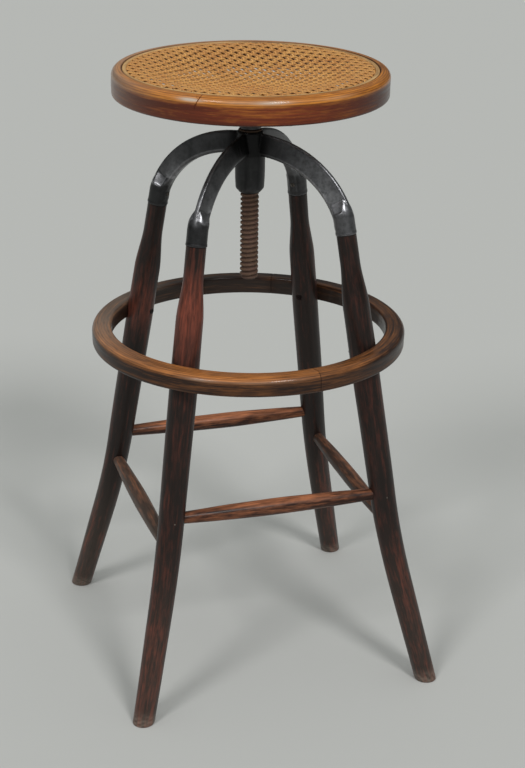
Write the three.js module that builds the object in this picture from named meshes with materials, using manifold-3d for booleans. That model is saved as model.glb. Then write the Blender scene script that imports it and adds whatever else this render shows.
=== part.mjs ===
import * as THREE from 'three';
import { mergeVertices } from 'three/addons/utils/BufferGeometryUtils.js';
import Module from 'manifold-3d';

// Revolving piano stool with a caned seat, a cast iron arm spider and a coarse height screw.
// Millimetres, +Z up. The origin is on the floor, on the axis of the height screw.
// The four legs stand on the diagonals, so the stretchers run along X and Y.
// The seat is drawn at its lowest, with its boss resting on the hub through the wear washer.

const wasm = await Module();
wasm.setup();

// Clearances that every fit shares
const seatGap = 0.3;
const runningGap = 0.4;
const cutOverrun = 2;

// Legs: bent and turned, straight below and above one bend
const footRadius = 281.3;
const legSlopeLowShare = 0.318;
const legSlopeHighShare = 0.186;
const legBendHeight = 200;
const legBendReach = 60;
const footDiameter = 28.5;
const bellyDiameter = 36.3;
const shoulderDiameter = 35;
const neckDiameter = 25.8;
const footRound = 1.2;

// Socket of the iron arms on the legs
const socketHeight = 615.2;
const socketStraightLength = 20;
const socketRoundLength = 30;
const socketLength = 44;
const socketNarrowing = 2;
const socketWall = 3.6;
const socketLip = 0.6;
const socketLipLength = 3;
const tenonDiameter = 19;
const tenonLength = 28;
const tenonChamfer = 1.5;
const socketScrewRise = 17;

// Foot ring that goes round the legs
const ringHeight = 458.8;
const ringWidth = 26.2;
const ringDepth = 26;
const ringTopRound = 9;
const ringEdgeRound = 4;
const ringNotch = 4.4;

// Stretchers: the front and rear pair lies above the side pair
const stretcherHighHeight = 264.2;
const stretcherLowHeight = 223.7;
const stretcherMiddleDiameter = 22.5;
const stretcherEndDiameter = 16;
const stretcherPastCentre = 3.5;
const stretcherEndChamfer = 1;

// Height screw
const screwDiameter = 24.4;
const screwNeckDiameter = 19.5;
const screwChamfer = 2.5;
const liftTravel = 100;
const spareThread = 18.5;

// Hub and arms of the cast spider
const armRise = 117.8;
const hubLength = 81.8;
const hubTopWall = 4.6;
const hubBodyWall = 6.9;
const hubLowerWall = 4.2;
const hubMouthWall = 1;
const hubMouthLength = 6;
const hubBodyLength = 33.5;
const hubTopChamfer = 1.2;
const armTopDrop = 2.2;
const armHubDepth = 28.6;
const armEndDepth = 25.4;
const armThickness = 12.5;
const armCornerCut = 3.2;
const oilHoleDiameter = 4;
const oilHoleDrop = 43;
const oilHoleAngle = -97;

// Wear washer between the hub and the seat boss
const washerThickness = 2;
const washerWidth = 3;

// Seat iron: a boss with four flat arms under the seat ring
const bossWall = 4.2;
const bossHeight = 38.8;
const bossNeckHeight = 22;
const bossFlare = 15;
const seatArmThickness = 6;
const seatArmRootWidth = 30;
const seatArmTipWidth = 22;
const seatArmTipInset = 12;
const pinDiameter = 5;
const pinHeight = 7;
const pinHeadProud = 0.8;

// Seat ring, spline and cane
const seatDiameter = 356;
const seatThickness = 34.2;
const seatRingWidth = 38;
const seatEdgeRound = 9;
const seatLowerRound = 3.5;
const seatInnerRound = 2;
const splineMargin = 14;
const splineWidth = 5.4;
const grooveDepth = 7.5;
const rebateDepth = 1.9;
const caneThickness = 1.3;
const canePitch = 20;
const caneStrandWidth = 8;
const caneCornerShare = 0.3;
const caneRimWidth = 4;
const caneTurn = 35;

// Fasteners
const seatScrewHeadDiameter = 9;
const seatScrewShankDiameter = 4.5;
const seatScrewHeadHeight = 3;
const seatScrewBite = 14;
const ringScrewHeadDiameter = 9;
const ringScrewShankDiameter = 4.6;
const ringScrewHeadHeight = 3.5;
const ringScrewBite = 15;
const ringScrewSink = 1;
const socketScrewHeadDiameter = 6.5;
const socketScrewShankDiameter = 3.4;
const socketScrewHeadHeight = 2;
const socketScrewLength = 12;
const bradHeadDiameter = 3.2;
const bradShankDiameter = 2.2;
const bradHeadHeight = 1;
const bradSink = 0.8;

// Facets
const wideSegments = 44;
const hubSegments = 22;
const legSegments = 14;
const socketSegments = 16;
const roundSegments = 12;
const smallSegments = 8;
const arcSteps = 2;
const armSteps = 9;

const legAngles = { front_left: 225, front_right: 315, rear_right: 45, rear_left: 135 };
const seatArmAngles = [0, 90, 180, 270];
const degrees = Math.PI / 180;

// Materials
const finish = (color, roughness, metalness) =>
  new THREE.MeshStandardMaterial({ color, roughness, metalness });
const darkWood = finish(0x3a1a10, 0.5, 0);
const ringWood = finish(0x6b3a1c, 0.5, 0);
const seatWood = finish(0xa55a26, 0.45, 0);
const caneStraw = finish(0xd9a860, 0.6, 0);
const splineReed = finish(0xc08a48, 0.6, 0);
const castIron = finish(0x2c3134, 0.5, 0.6);
const rustySteel = finish(0x6e4a38, 0.7, 0.5);
const brightSteel = finish(0x6d6862, 0.5, 0.8);
const leather = finish(0x3b2a1e, 0.8, 0);

// Geometry helpers

function toSolid(geometry) {
  const bare = new THREE.BufferGeometry();
  bare.setAttribute('position', geometry.getAttribute('position').clone());
  if (geometry.index) bare.setIndex(Array.from(geometry.index.array));
  const merged = mergeVertices(bare);
  const index = merged.index.array;
  const triangles = [];
  for (let i = 0; i < index.length; i += 3) {
    const [a, b, c] = [index[i], index[i + 1], index[i + 2]];
    if (a !== b && b !== c && c !== a) triangles.push(a, b, c);
  }
  return new wasm.Manifold(new wasm.Mesh({
    numProp: 3,
    vertProperties: new Float32Array(merged.getAttribute('position').array),
    triVerts: new Uint32Array(triangles),
  }));
}

function toGeometry(solid) {
  const mesh = solid.getMesh();
  const geometry = new THREE.BufferGeometry();
  geometry.setAttribute('position', new THREE.BufferAttribute(new Float32Array(mesh.vertProperties), 3));
  geometry.setIndex(Array.from(mesh.triVerts));
  geometry.computeVertexNormals();
  return geometry;
}

const join = (solids) => solids.reduce((sum, solid) => sum.add(solid));
const cut = (solid, tools) => tools.reduce((left, tool) => left.subtract(tool), solid);

// Turned solid round Z. The profile is a list of [radius, height], up its outer side.
function turned(profile, segments) {
  const points = profile.map(([radius, height]) => new THREE.Vector2(radius, height));
  const first = points[0];
  const last = points[points.length - 1];
  if (first.x !== 0 || last.x !== 0) points.push(first.clone());
  return new THREE.LatheGeometry(points, segments).rotateX(Math.PI / 2);
}

// Points of a round corner in a profile, from one angle to another round a centre
function corner(centreRadius, centreHeight, round, fromAngle, toAngle) {
  const points = [];
  for (let i = 0; i <= arcSteps; i += 1) {
    const angle = (fromAngle + (toAngle - fromAngle) * i / arcSteps) * degrees;
    points.push([centreRadius + round * Math.cos(angle), centreHeight + round * Math.sin(angle)]);
  }
  return points;
}

// Closed skin over a row of rings that all have the same number of points
function loft(rings) {
  const size = rings[0].length;
  const positions = rings.flat().flatMap((point) => [point.x, point.y, point.z]);
  const index = [];
  for (let row = 0; row < rings.length - 1; row += 1) {
    for (let i = 0; i < size; i += 1) {
      const next = (i + 1) % size;
      const a = row * size + i;
      const b = row * size + next;
      index.push(a, b, b + size, a, b + size, a + size);
    }
  }
  const last = (rings.length - 1) * size;
  for (let i = 1; i < size - 1; i += 1) {
    index.push(0, i + 1, i);
    index.push(last, last + i, last + i + 1);
  }
  const geometry = new THREE.BufferGeometry();
  geometry.setAttribute('position', new THREE.Float32BufferAttribute(positions, 3));
  geometry.setIndex(index);
  return geometry;
}

// Turns a geometry that was drawn along +Z towards a direction and puts its origin at a point
function aim(geometry, origin, direction) {
  const turn = new THREE.Quaternion().setFromUnitVectors(
    new THREE.Vector3(0, 0, 1), direction.clone().normalize());
  return geometry.applyQuaternion(turn).translate(origin.x, origin.y, origin.z);
}

function rod(radius, length, segments) {
  return turned([[0, 0], [radius, 0], [radius, length], [0, length]], segments);
}

// Drill that starts a little before its origin and ends at its depth
function drill(radius, depth, origin, direction, segments) {
  const start = origin.clone().addScaledVector(direction.clone().normalize(), -cutOverrun);
  return toSolid(aim(rod(radius, depth + cutOverrun, segments), start, direction));
}

const turnZ = (geometry, angle) => geometry.clone().rotateZ(angle * degrees);

function piece(name, geometry, material) {
  const mesh = new THREE.Mesh(geometry, material);
  mesh.name = name;
  return mesh;
}

const smooth = (share) => {
  const t = Math.min(Math.max(share, 0), 1);
  return t * t * (3 - 2 * t);
};

// Centre line of a leg: two straight runs joined by a parabola over the bend
const bendRadius = footRadius - legSlopeLowShare * legBendHeight;

function legCentre(height) {
  const past = height - legBendHeight;
  const low = bendRadius - legSlopeLowShare * past;
  const high = bendRadius - legSlopeHighShare * past;
  if (past <= -legBendReach) return low;
  if (past >= legBendReach) return high;
  const rise = (past + legBendReach) ** 2 / (4 * legBendReach);
  return low + (legSlopeLowShare - legSlopeHighShare) * rise;
}

function legSlope(height) {
  const share = Math.min(Math.max((height - legBendHeight + legBendReach) / (2 * legBendReach), 0), 1);
  return legSlopeLowShare + (legSlopeHighShare - legSlopeLowShare) * share;
}

// Turned outline of a leg, by share of the height from the floor to the socket
const bellyShare = 0.71;
const shoulderShare = 0.844;
const neckShare = 0.94;
const taperPowerShare = 1.35;

function legRadius(height) {
  const share = height / socketHeight;
  if (share < bellyShare) {
    const swell = 1 - (1 - share / bellyShare) ** taperPowerShare;
    return (footDiameter + (bellyDiameter - footDiameter) * swell) / 2;
  }
  if (share < shoulderShare) {
    const fall = smooth((share - bellyShare) / (shoulderShare - bellyShare));
    return (bellyDiameter + (shoulderDiameter - bellyDiameter) * fall) / 2;
  }
  const fall = smooth((share - shoulderShare) / (neckShare - shoulderShare));
  return (shoulderDiameter + (neckDiameter - shoulderDiameter) * fall) / 2;
}

// Directions in the plane of a leg drawn on +X: up along the leg, and outwards from it
function legFrame(height) {
  const along = new THREE.Vector3(-legSlope(height), 0, 1).normalize();
  const outwards = new THREE.Vector3(along.z, 0, -along.x);
  return { centre: new THREE.Vector3(legCentre(height), 0, height), along, outwards };
}

// Ring of points round a leg, square to it, or level where the foot stands on the floor
function legRing(height, radius, level = false) {
  const { centre, outwards } = legFrame(height);
  const reach = level ? new THREE.Vector3(1 / outwards.x, 0, 0) : outwards;
  const ring = [];
  for (let i = 0; i < legSegments; i += 1) {
    const angle = 2 * Math.PI * i / legSegments;
    const point = centre.clone().addScaledVector(reach, radius * Math.cos(angle));
    point.y += radius * Math.sin(angle);
    ring.push(point);
  }
  return ring;
}

// Socket axis: the leg's upper run, carried on above its shoulder
const socketFrame = legFrame(socketHeight);
const alongSocket = (distance) => socketFrame.centre.clone().addScaledVector(socketFrame.along, distance);
const socketBoreRadius = tenonDiameter / 2 + seatGap;
const socketRadius = socketBoreRadius + socketWall;

// Foot ring placed by the legs that it is let into
const legReachAtRing = legCentre(ringHeight) + legRadius(ringHeight) / socketFrame.along.z;
const ringInner = legReachAtRing - ringNotch;
const ringOuter = ringInner + ringWidth;
const ringBottom = ringHeight - ringDepth / 2;
const ringTop = ringHeight + ringDepth / 2;

// Levels up the screw axis
const hubTop = socketHeight + armRise;
const hubBottom = hubTop - hubLength;
const washerBottom = hubTop + seatGap;
const washerTop = washerBottom + washerThickness;
const bossBottom = washerTop + seatGap;
const bossTop = bossBottom + bossHeight;
const seatArmTop = bossTop + seatArmThickness;
const seatBottom = seatArmTop + seatGap;
const seatTop = seatBottom + seatThickness;
const screwEnd = hubBottom - liftTravel - spareThread;
const screwShoulder = bossBottom - seatGap;
const hubBoreRadius = screwDiameter / 2 + runningGap;
const bossBoreRadius = screwNeckDiameter / 2 + seatGap;
const bossRadius = bossBoreRadius + bossWall;

// Seat radii
const seatOuter = seatDiameter / 2;
const seatInner = seatOuter - seatRingWidth;
const grooveOuter = seatOuter - splineMargin;
const grooveInner = grooveOuter - splineWidth - 2 * seatGap;
const rebateTop = seatTop - rebateDepth;
const seatScrewRadius = (seatInner + seatOuter) / 2;

// Seat ring: bent wood with a groove for the spline and a rebate for the cane

function seatRing() {
  const ring = toSolid(turned([
    [seatInner, seatBottom],
    ...corner(seatOuter - seatLowerRound, seatBottom + seatLowerRound, seatLowerRound, -90, 0),
    ...corner(seatOuter - seatEdgeRound, seatTop - seatEdgeRound, seatEdgeRound, 0, 90),
    [grooveOuter, seatTop],
    [grooveOuter, seatTop - grooveDepth],
    [grooveInner, seatTop - grooveDepth],
    [grooveInner, rebateTop],
    ...corner(seatInner + seatInnerRound, rebateTop - seatInnerRound, seatInnerRound, 90, 180),
  ], wideSegments));
  const depth = seatScrewBite + seatGap;
  const radius = seatScrewShankDiameter / 2 + seatGap;
  const pilots = seatScrewPlaces().map((place) => drill(
    radius, depth, place.clone().setZ(seatBottom), new THREE.Vector3(0, 0, 1), smallSegments));
  return toGeometry(cut(ring, pilots));
}

function seatScrewPlaces() {
  return seatArmAngles.map((angle) => new THREE.Vector3(
    seatScrewRadius * Math.cos(angle * degrees), seatScrewRadius * Math.sin(angle * degrees), 0));
}

function caneSpline() {
  const inner = grooveInner + seatGap;
  const outer = inner + splineWidth;
  const bottom = seatTop - grooveDepth + seatGap;
  const round = splineWidth / 2;
  return turned([
    [inner, bottom],
    [outer, bottom],
    ...corner(inner + round, seatTop - round, round, 0, 180),
  ], wideSegments);
}

// Cane: a flat net of eight-sided gaps inside a plain rim that lies in the rebate

function caneNet() {
  const rimRadius = grooveInner - seatGap;
  const openRadius = seatInner - caneRimWidth;
  const outline = new THREE.Shape();
  outline.absarc(0, 0, rimRadius, 0, 2 * Math.PI);
  const half = (canePitch - caneStrandWidth) / 2;
  const side = half * (1 - caneCornerShare);
  const gap = [
    [half, side], [side, half], [-side, half], [-half, side],
    [-half, -side], [-side, -half], [side, -half], [half, -side],
  ];
  const reach = Math.ceil(openRadius / canePitch);
  for (let row = -reach; row <= reach; row += 1) {
    for (let column = -reach; column <= reach; column += 1) {
      const centre = new THREE.Vector2(column * canePitch, row * canePitch);
      if (centre.length() + half * Math.SQRT2 > openRadius) continue;
      outline.holes.push(new THREE.Path(
        gap.map(([x, y]) => new THREE.Vector2(centre.x + x, centre.y + y))));
    }
  }
  const net = new THREE.ExtrudeGeometry(outline, {
    depth: caneThickness, bevelEnabled: false, curveSegments: wideSegments,
  });
  net.rotateZ(caneTurn * degrees).translate(0, 0, rebateTop + seatGap);
  return toGeometry(toSolid(net));
}

// Seat iron

function seatIron() {
  const boss = toSolid(turned([
    [0, bossBottom],
    [bossRadius, bossBottom],
    [bossRadius, bossBottom + bossNeckHeight],
    [bossRadius + bossFlare, bossTop],
    [bossRadius + bossFlare, seatArmTop],
    [0, seatArmTop],
  ], hubSegments));
  const tipCentre = seatOuter - seatArmTipInset - seatArmTipWidth / 2;
  const arm = new THREE.Shape();
  arm.moveTo(0, -seatArmRootWidth / 2);
  arm.lineTo(tipCentre, -seatArmTipWidth / 2);
  arm.absarc(tipCentre, 0, seatArmTipWidth / 2, -Math.PI / 2, Math.PI / 2);
  arm.lineTo(0, seatArmRootWidth / 2);
  const bar = new THREE.ExtrudeGeometry(arm, {
    depth: seatArmThickness, bevelEnabled: false, curveSegments: arcSteps * 2,
  }).translate(0, 0, bossTop);
  const arms = seatArmAngles.map((angle) => toSolid(turnZ(bar, angle)));
  const up = new THREE.Vector3(0, 0, 1);
  const bore = drill(bossBoreRadius, bossHeight, new THREE.Vector3(0, 0, bossBottom), up, hubSegments);
  const holes = seatScrewPlaces().map((place) => drill(
    seatScrewShankDiameter / 2 + seatGap, seatArmThickness + cutOverrun,
    place.clone().setZ(bossTop), up, smallSegments));
  return toGeometry(cut(join([boss, ...arms]), [bore, crossPinHole(), ...holes]));
}

const pinPlace = new THREE.Vector3(0, -bossRadius - pinHeadProud, bossBottom + pinHeight);
const pinLength = 2 * (bossRadius + pinHeadProud);

function crossPinHole() {
  return drill(pinDiameter / 2 + seatGap, pinLength + cutOverrun, pinPlace,
    new THREE.Vector3(0, 1, 0), roundSegments);
}

function crossPin() {
  return aim(rod(pinDiameter / 2, pinLength, roundSegments), pinPlace, new THREE.Vector3(0, 1, 0));
}

// Height screw: full diameter up to the shoulder under the boss, then a neck pinned into it

function heightScrew() {
  const radius = screwDiameter / 2;
  const neck = screwNeckDiameter / 2;
  const top = bossBottom + bossHeight - seatGap;
  const screw = toSolid(turned([
    [0, screwEnd],
    [radius - screwChamfer, screwEnd],
    [radius, screwEnd + screwChamfer],
    [radius, screwShoulder],
    [neck, screwShoulder],
    [neck, top],
    [0, top],
  ], hubSegments));
  return toGeometry(cut(screw, [crossPinHole()]));
}

function wearWasher() {
  return turned([
    [hubBoreRadius, washerBottom],
    [hubBoreRadius + washerWidth, washerBottom],
    [hubBoreRadius + washerWidth, washerTop],
    [hubBoreRadius, washerTop],
  ], hubSegments);
}

// Cast spider: hub, four curved arms and four leg sockets in one casting

const armStart = new THREE.Vector2(hubBoreRadius / 2, hubTop - armTopDrop - armHubDepth / 2);
const armEnd = alongSocket(socketStraightLength);
const armRootShare = 0.8;
const armDropShare = 0.05;

// Middle line of socket and arm: straight with the leg, then one curve to the hub
function armPath() {
  const reach = armEnd.x - armStart.x;
  const fall = armStart.y - armEnd.z;
  const path = new THREE.CurvePath();
  path.add(new THREE.LineCurve3(alongSocket(0), armEnd));
  path.add(new THREE.CubicBezierCurve3(
    armEnd,
    alongSocket(socketStraightLength + armDropShare * fall),
    new THREE.Vector3(armStart.x + armRootShare * reach, 0, armStart.y),
    new THREE.Vector3(armStart.x, 0, armStart.y),
  ));
  return path;
}

// Flat bar section with cut corners, in shares of half its depth and thickness
function armRing(centre, along, depth, thickness) {
  const outwards = new THREE.Vector3(along.z, 0, -along.x);
  const deep = depth / 2;
  const thick = thickness / 2;
  const corners = [
    [deep, thick - armCornerCut], [deep - armCornerCut, thick],
    [armCornerCut - deep, thick], [-deep, thick - armCornerCut],
    [-deep, armCornerCut - thick], [armCornerCut - deep, -thick],
    [deep - armCornerCut, -thick], [deep, armCornerCut - thick],
  ];
  return corners.map(([out, side]) => {
    const point = centre.clone().addScaledVector(outwards, out);
    point.y = side;
    return point;
  });
}

function armBar() {
  const path = armPath();
  const curve = path.curves[1];
  const start = alongSocket(socketStraightLength / 2);
  const rings = [armRing(start, socketFrame.along, armEndDepth, armThickness)];
  for (let i = 0; i <= armSteps; i += 1) {
    const share = i / armSteps;
    const depth = armEndDepth + (armHubDepth - armEndDepth) * share;
    rings.push(armRing(curve.getPoint(share), curve.getTangent(share), depth, armThickness));
  }
  return loft(rings);
}

// Round socket that two slanting flats cut down to the arm's thickness towards its upper end
function socketBody() {
  const path = armPath();
  const total = path.getLength();
  const top = socketRadius - socketNarrowing;
  const levels = [
    [0, socketRadius],
    [socketLip, socketRadius + socketLip],
    [socketLipLength, socketRadius + socketLip],
    [socketLipLength + socketLip, socketRadius],
    [socketStraightLength, socketRadius],
    [socketRoundLength, socketRadius],
    [(socketRoundLength + socketLength) / 2, (socketRadius + top) / 2],
    [socketLength, top],
  ];
  const flatTop = armThickness / 2 - seatGap;
  const rings = levels.map(([distance, radius]) => {
    const centre = path.getPoint(distance / total);
    const along = path.getTangent(distance / total);
    const outwards = new THREE.Vector3(along.z, 0, -along.x);
    const cut = (distance - socketRoundLength) / (socketLength - socketRoundLength);
    const held = cut <= 0 ? radius : socketRadius + (flatTop - socketRadius) * cut;
    return Array.from({ length: socketSegments }, (_, i) => {
      const angle = 2 * Math.PI * i / socketSegments;
      const point = centre.clone().addScaledVector(outwards, radius * Math.cos(angle));
      point.y = THREE.MathUtils.clamp(radius * Math.sin(angle), -held, held);
      return point;
    });
  });
  return loft(rings);
}

function hubBody() {
  const levels = [
    [0, hubBottom],
    [hubBoreRadius + hubMouthWall, hubBottom],
    [hubBoreRadius + hubLowerWall, hubBottom + hubMouthLength],
    [hubBoreRadius + hubBodyWall, hubBottom + hubBodyLength],
    [hubBoreRadius + hubBodyWall, hubTop - armTopDrop - armHubDepth],
    [hubBoreRadius + hubTopWall, hubTop - armTopDrop],
    [hubBoreRadius + hubTopWall, hubTop - hubTopChamfer],
    [hubBoreRadius + hubTopWall - hubTopChamfer, hubTop],
    [0, hubTop],
  ];
  return turned(levels, hubSegments);
}

function socketScrewPlace() {
  return alongSocket(socketScrewRise).addScaledVector(socketFrame.outwards, -socketRadius - seatGap);
}

function armSpider() {
  const bar = armBar();
  const socket = socketBody();
  const bodies = Object.values(legAngles).flatMap(
    (angle) => [toSolid(turnZ(bar, angle)), toSolid(turnZ(socket, angle))]);
  const bore = drill(hubBoreRadius, hubLength + cutOverrun,
    new THREE.Vector3(0, 0, hubBottom), new THREE.Vector3(0, 0, 1), hubSegments);
  const oilAngle = oilHoleAngle * degrees;
  const oilDirection = new THREE.Vector3(-Math.cos(oilAngle), -Math.sin(oilAngle), 0);
  const oilReach = hubBoreRadius + hubBodyWall;
  const oilHole = drill(oilHoleDiameter / 2, oilReach,
    oilDirection.clone().multiplyScalar(-oilReach).setZ(hubTop - oilHoleDrop), oilDirection, smallSegments);
  const legTools = Object.values(legAngles).flatMap((angle) => {
    const turn = (vector) => vector.clone().applyAxisAngle(new THREE.Vector3(0, 0, 1), angle * degrees);
    return [
      drill(socketBoreRadius, tenonLength + seatGap, turn(alongSocket(0)),
        turn(socketFrame.along), legSegments),
      drill(socketScrewShankDiameter / 2 + seatGap, socketRadius, turn(socketScrewPlace()),
        turn(socketFrame.outwards), smallSegments),
    ];
  });
  return toGeometry(cut(join([toSolid(hubBody()), ...bodies]), [bore, oilHole, ...legTools]));
}

// Legs

const legStationShares = [
  0.05, 0.13, 0.21, 0.265, 0.325, 0.385, 0.44, 0.53, 0.62, 0.71, 0.8, 0.844, 0.87, 0.892, 0.911, 0.94,
];

// Stretcher mortises leave a leg towards its neighbours, so they turn 135 degrees from outwards
const mortiseTurn = 135;

function legBody() {
  const rings = [
    legRing(0, footDiameter / 2 - footRound, true),
    legRing(footRound, footDiameter / 2, true),
    ...legStationShares.map((share) => legRing(share * socketHeight, legRadius(share * socketHeight))),
  ];
  const shoulder = socketHeight - seatGap;
  const atTenon = (distance, radius) => legRing(socketHeight, radius).map(
    (point) => point.addScaledVector(socketFrame.along, distance));
  rings.push(legRing(shoulder, neckDiameter / 2));
  rings.push(atTenon(-seatGap, tenonDiameter / 2));
  rings.push(atTenon(tenonLength - tenonChamfer, tenonDiameter / 2));
  rings.push(atTenon(tenonLength, tenonDiameter / 2 - tenonChamfer));
  return toSolid(loft(rings));
}

function ringProfile(grow) {
  const inner = ringInner - grow;
  const outer = ringOuter + grow;
  const low = ringBottom - grow;
  const high = ringTop + grow;
  return [
    ...corner(inner + ringEdgeRound, low + ringEdgeRound, ringEdgeRound, 180, 270),
    ...corner(outer - ringEdgeRound, low + ringEdgeRound, ringEdgeRound, 270, 360),
    ...corner(outer - ringTopRound, high - ringTopRound, ringTopRound, 0, 90),
    ...corner(inner + ringEdgeRound, high - ringEdgeRound, ringEdgeRound, 90, 180),
  ];
}

const ringScrewHead = legCentre(ringHeight) - legRadius(ringHeight) + ringScrewSink;
const ringScrewLength = ringInner + ringScrewBite - ringScrewHead;

function bradPlace(height) {
  return legRadius(height) - bradSink;
}

function bradLength(height) {
  return bradPlace(height) + stretcherEndDiameter / 2 - bradHeadHeight;
}

// A leg drawn on +X. Side +1 has its high mortise at +135 degrees, side -1 at -135 degrees.
function leg(angle, side) {
  const mortises = [[stretcherHighHeight, side], [stretcherLowHeight, -side]].flatMap(([height, hand]) => {
    const centre = legFrame(height).centre;
    const mortiseAngle = mortiseTurn * hand * degrees;
    const into = new THREE.Vector3(-Math.cos(mortiseAngle), -Math.sin(mortiseAngle), 0);
    const bradAngle = (mortiseTurn - 90) * hand * degrees;
    const outwards = new THREE.Vector3(Math.cos(bradAngle), Math.sin(bradAngle), 0);
    const reach = legRadius(height) + cutOverrun;
    return [
      drill(stretcherEndDiameter / 2 + seatGap, reach + stretcherPastCentre + seatGap,
        centre.clone().addScaledVector(into, -reach), into, roundSegments),
      drill(bradShankDiameter / 2 + seatGap, bradLength(height) + bradSink + seatGap,
        centre.clone().addScaledVector(outwards, bradPlace(height) + bradSink),
        outwards.clone().negate(), smallSegments),
      drill(bradHeadDiameter / 2 + seatGap, bradSink + bradHeadHeight + seatGap,
        centre.clone().addScaledVector(outwards, bradPlace(height) + bradSink),
        outwards.clone().negate(), smallSegments),
    ];
  });
  const ringCut = toSolid(turnZ(turned(ringProfile(seatGap), wideSegments), -angle));
  const screwWay = new THREE.Vector3(1, 0, 0);
  const screwStart = new THREE.Vector3(ringScrewHead - ringScrewSink, 0, ringHeight);
  const ringScrewHole = drill(ringScrewShankDiameter / 2 + seatGap, 2 * bellyDiameter,
    screwStart, screwWay, smallSegments);
  const headHole = drill(ringScrewHeadDiameter / 2 + seatGap, ringScrewSink + ringScrewHeadHeight + seatGap,
    screwStart, screwWay, roundSegments);
  const socketScrewHole = drill(socketScrewShankDiameter / 2 + seatGap, socketScrewLength + seatGap,
    socketScrewPlace(), socketFrame.outwards, smallSegments);
  const tools = [...mortises, ringCut, ringScrewHole, headHole, socketScrewHole];
  return toGeometry(cut(legBody(), tools));
}

// Foot ring, with blind holes for the screws that come through the legs

function footRing() {
  const ring = toSolid(turned(ringProfile(0), wideSegments));
  const holes = Object.values(legAngles).map((angle) => {
    const direction = new THREE.Vector3(Math.cos(angle * degrees), Math.sin(angle * degrees), 0);
    return drill(ringScrewShankDiameter / 2 + seatGap, ringScrewBite + seatGap + cutOverrun,
      direction.clone().multiplyScalar(ringInner - cutOverrun).setZ(ringHeight), direction, smallSegments);
  });
  return toGeometry(cut(ring, holes));
}

// Stretchers, drawn along X with their outer side towards -Y

const stretcherShares = [0, 0.12, 0.3, 0.5, 0.7, 0.88, 1];

function stretcher(height) {
  const half = legCentre(height) / Math.SQRT2;
  const inLeg = legRadius(height);
  const tip = half + stretcherPastCentre;
  const end = stretcherEndDiameter / 2;
  const middle = stretcherMiddleDiameter / 2;
  const free = half - inLeg;
  const profile = [
    [0, -tip],
    [end - stretcherEndChamfer, -tip],
    [end, -tip + stretcherEndChamfer],
    ...stretcherShares.map((share) => [
      end + (middle - end) * Math.sin(Math.PI * share), -free + 2 * free * share]),
    [end, tip - stretcherEndChamfer],
    [end - stretcherEndChamfer, tip],
    [0, tip],
  ];
  const body = toSolid(turned(profile, roundSegments).rotateY(Math.PI / 2));
  const brads = [-half, half].map((x) => drill(
    bradShankDiameter / 2 + seatGap, 2 * end + cutOverrun,
    new THREE.Vector3(x, -end, 0), new THREE.Vector3(0, 1, 0), smallSegments));
  return toGeometry(cut(body, brads));
}

// Fasteners, drawn from the face of the head along +Z

function countersunkScrew(headDiameter, headHeight, shankDiameter, length) {
  return turned([
    [0, 0],
    [headDiameter / 2, 0],
    [shankDiameter / 2, headHeight],
    [shankDiameter / 2, length - shankDiameter],
    [0, length],
  ], smallSegments);
}

function roundHeadScrew(headDiameter, headHeight, shankDiameter, length) {
  const head = headDiameter / 2;
  return turned([
    [0, -headHeight],
    [head / 2, -headHeight],
    [head, -headHeight / 2],
    [head, 0],
    [shankDiameter / 2, 0],
    [shankDiameter / 2, length - shankDiameter],
    [0, length],
  ], smallSegments);
}

// Assembly: stand, washer and seat as three groups, as they come apart

const stool = new THREE.Group();
const stand = new THREE.Group();
const seat = new THREE.Group();
stool.add(stand, seat);

stand.add(piece('arm_spider', armSpider(), castIron));
stand.add(piece('foot_ring', footRing(), ringWood));

for (const [place, angle] of Object.entries(legAngles)) {
  const side = place === 'front_left' || place === 'rear_right' ? 1 : -1;
  const set = new THREE.Group();
  set.rotation.z = angle * degrees;
  set.add(piece(`leg_${place}`, leg(angle, side), darkWood));
  const ringScrew = countersunkScrew(
    ringScrewHeadDiameter, ringScrewHeadHeight, ringScrewShankDiameter, ringScrewLength);
  set.add(piece(`ring_screw_${place}`,
    aim(ringScrew, new THREE.Vector3(ringScrewHead, 0, ringHeight), new THREE.Vector3(1, 0, 0)), brightSteel));
  const socketScrew = roundHeadScrew(
    socketScrewHeadDiameter, socketScrewHeadHeight, socketScrewShankDiameter, socketScrewLength);
  set.add(piece(`socket_screw_${place}`,
    aim(socketScrew, socketScrewPlace(), socketFrame.outwards), brightSteel));
  stand.add(set);
}

const stretcherPlaces = {
  front: [0, stretcherHighHeight],
  right: [90, stretcherLowHeight],
  rear: [180, stretcherHighHeight],
  left: [270, stretcherLowHeight],
};

for (const [place, [angle, height]] of Object.entries(stretcherPlaces)) {
  const half = legCentre(height) / Math.SQRT2;
  const set = new THREE.Group();
  set.rotation.z = angle * degrees;
  const bar = piece(`stretcher_${place}`, stretcher(height), darkWood);
  bar.position.set(0, -half, height);
  set.add(bar);
  for (const [end, x] of [['a', -half], ['b', half]]) {
    const brad = turned([
      [0, 0],
      [bradHeadDiameter / 2, 0],
      [bradHeadDiameter / 2, bradHeadHeight],
      [bradShankDiameter / 2, bradHeadHeight],
      [bradShankDiameter / 2, bradLength(height) - bradShankDiameter],
      [0, bradLength(height)],
    ], smallSegments);
    const mesh = piece(`brad_${place}_${end}`, brad.rotateX(-Math.PI / 2), brightSteel);
    mesh.position.set(x, -half - bradPlace(height), height);
    set.add(mesh);
  }
  stand.add(set);
}

stool.add(piece('wear_washer', wearWasher(), leather));

seat.add(piece('height_screw', heightScrew(), rustySteel));
seat.add(piece('seat_iron', seatIron(), castIron));
seat.add(piece('cross_pin', crossPin(), rustySteel));
seat.add(piece('seat_ring', seatRing(), seatWood));
seat.add(piece('cane_spline', caneSpline(), splineReed));
seat.add(piece('seat_cane', caneNet(), caneStraw));

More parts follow.
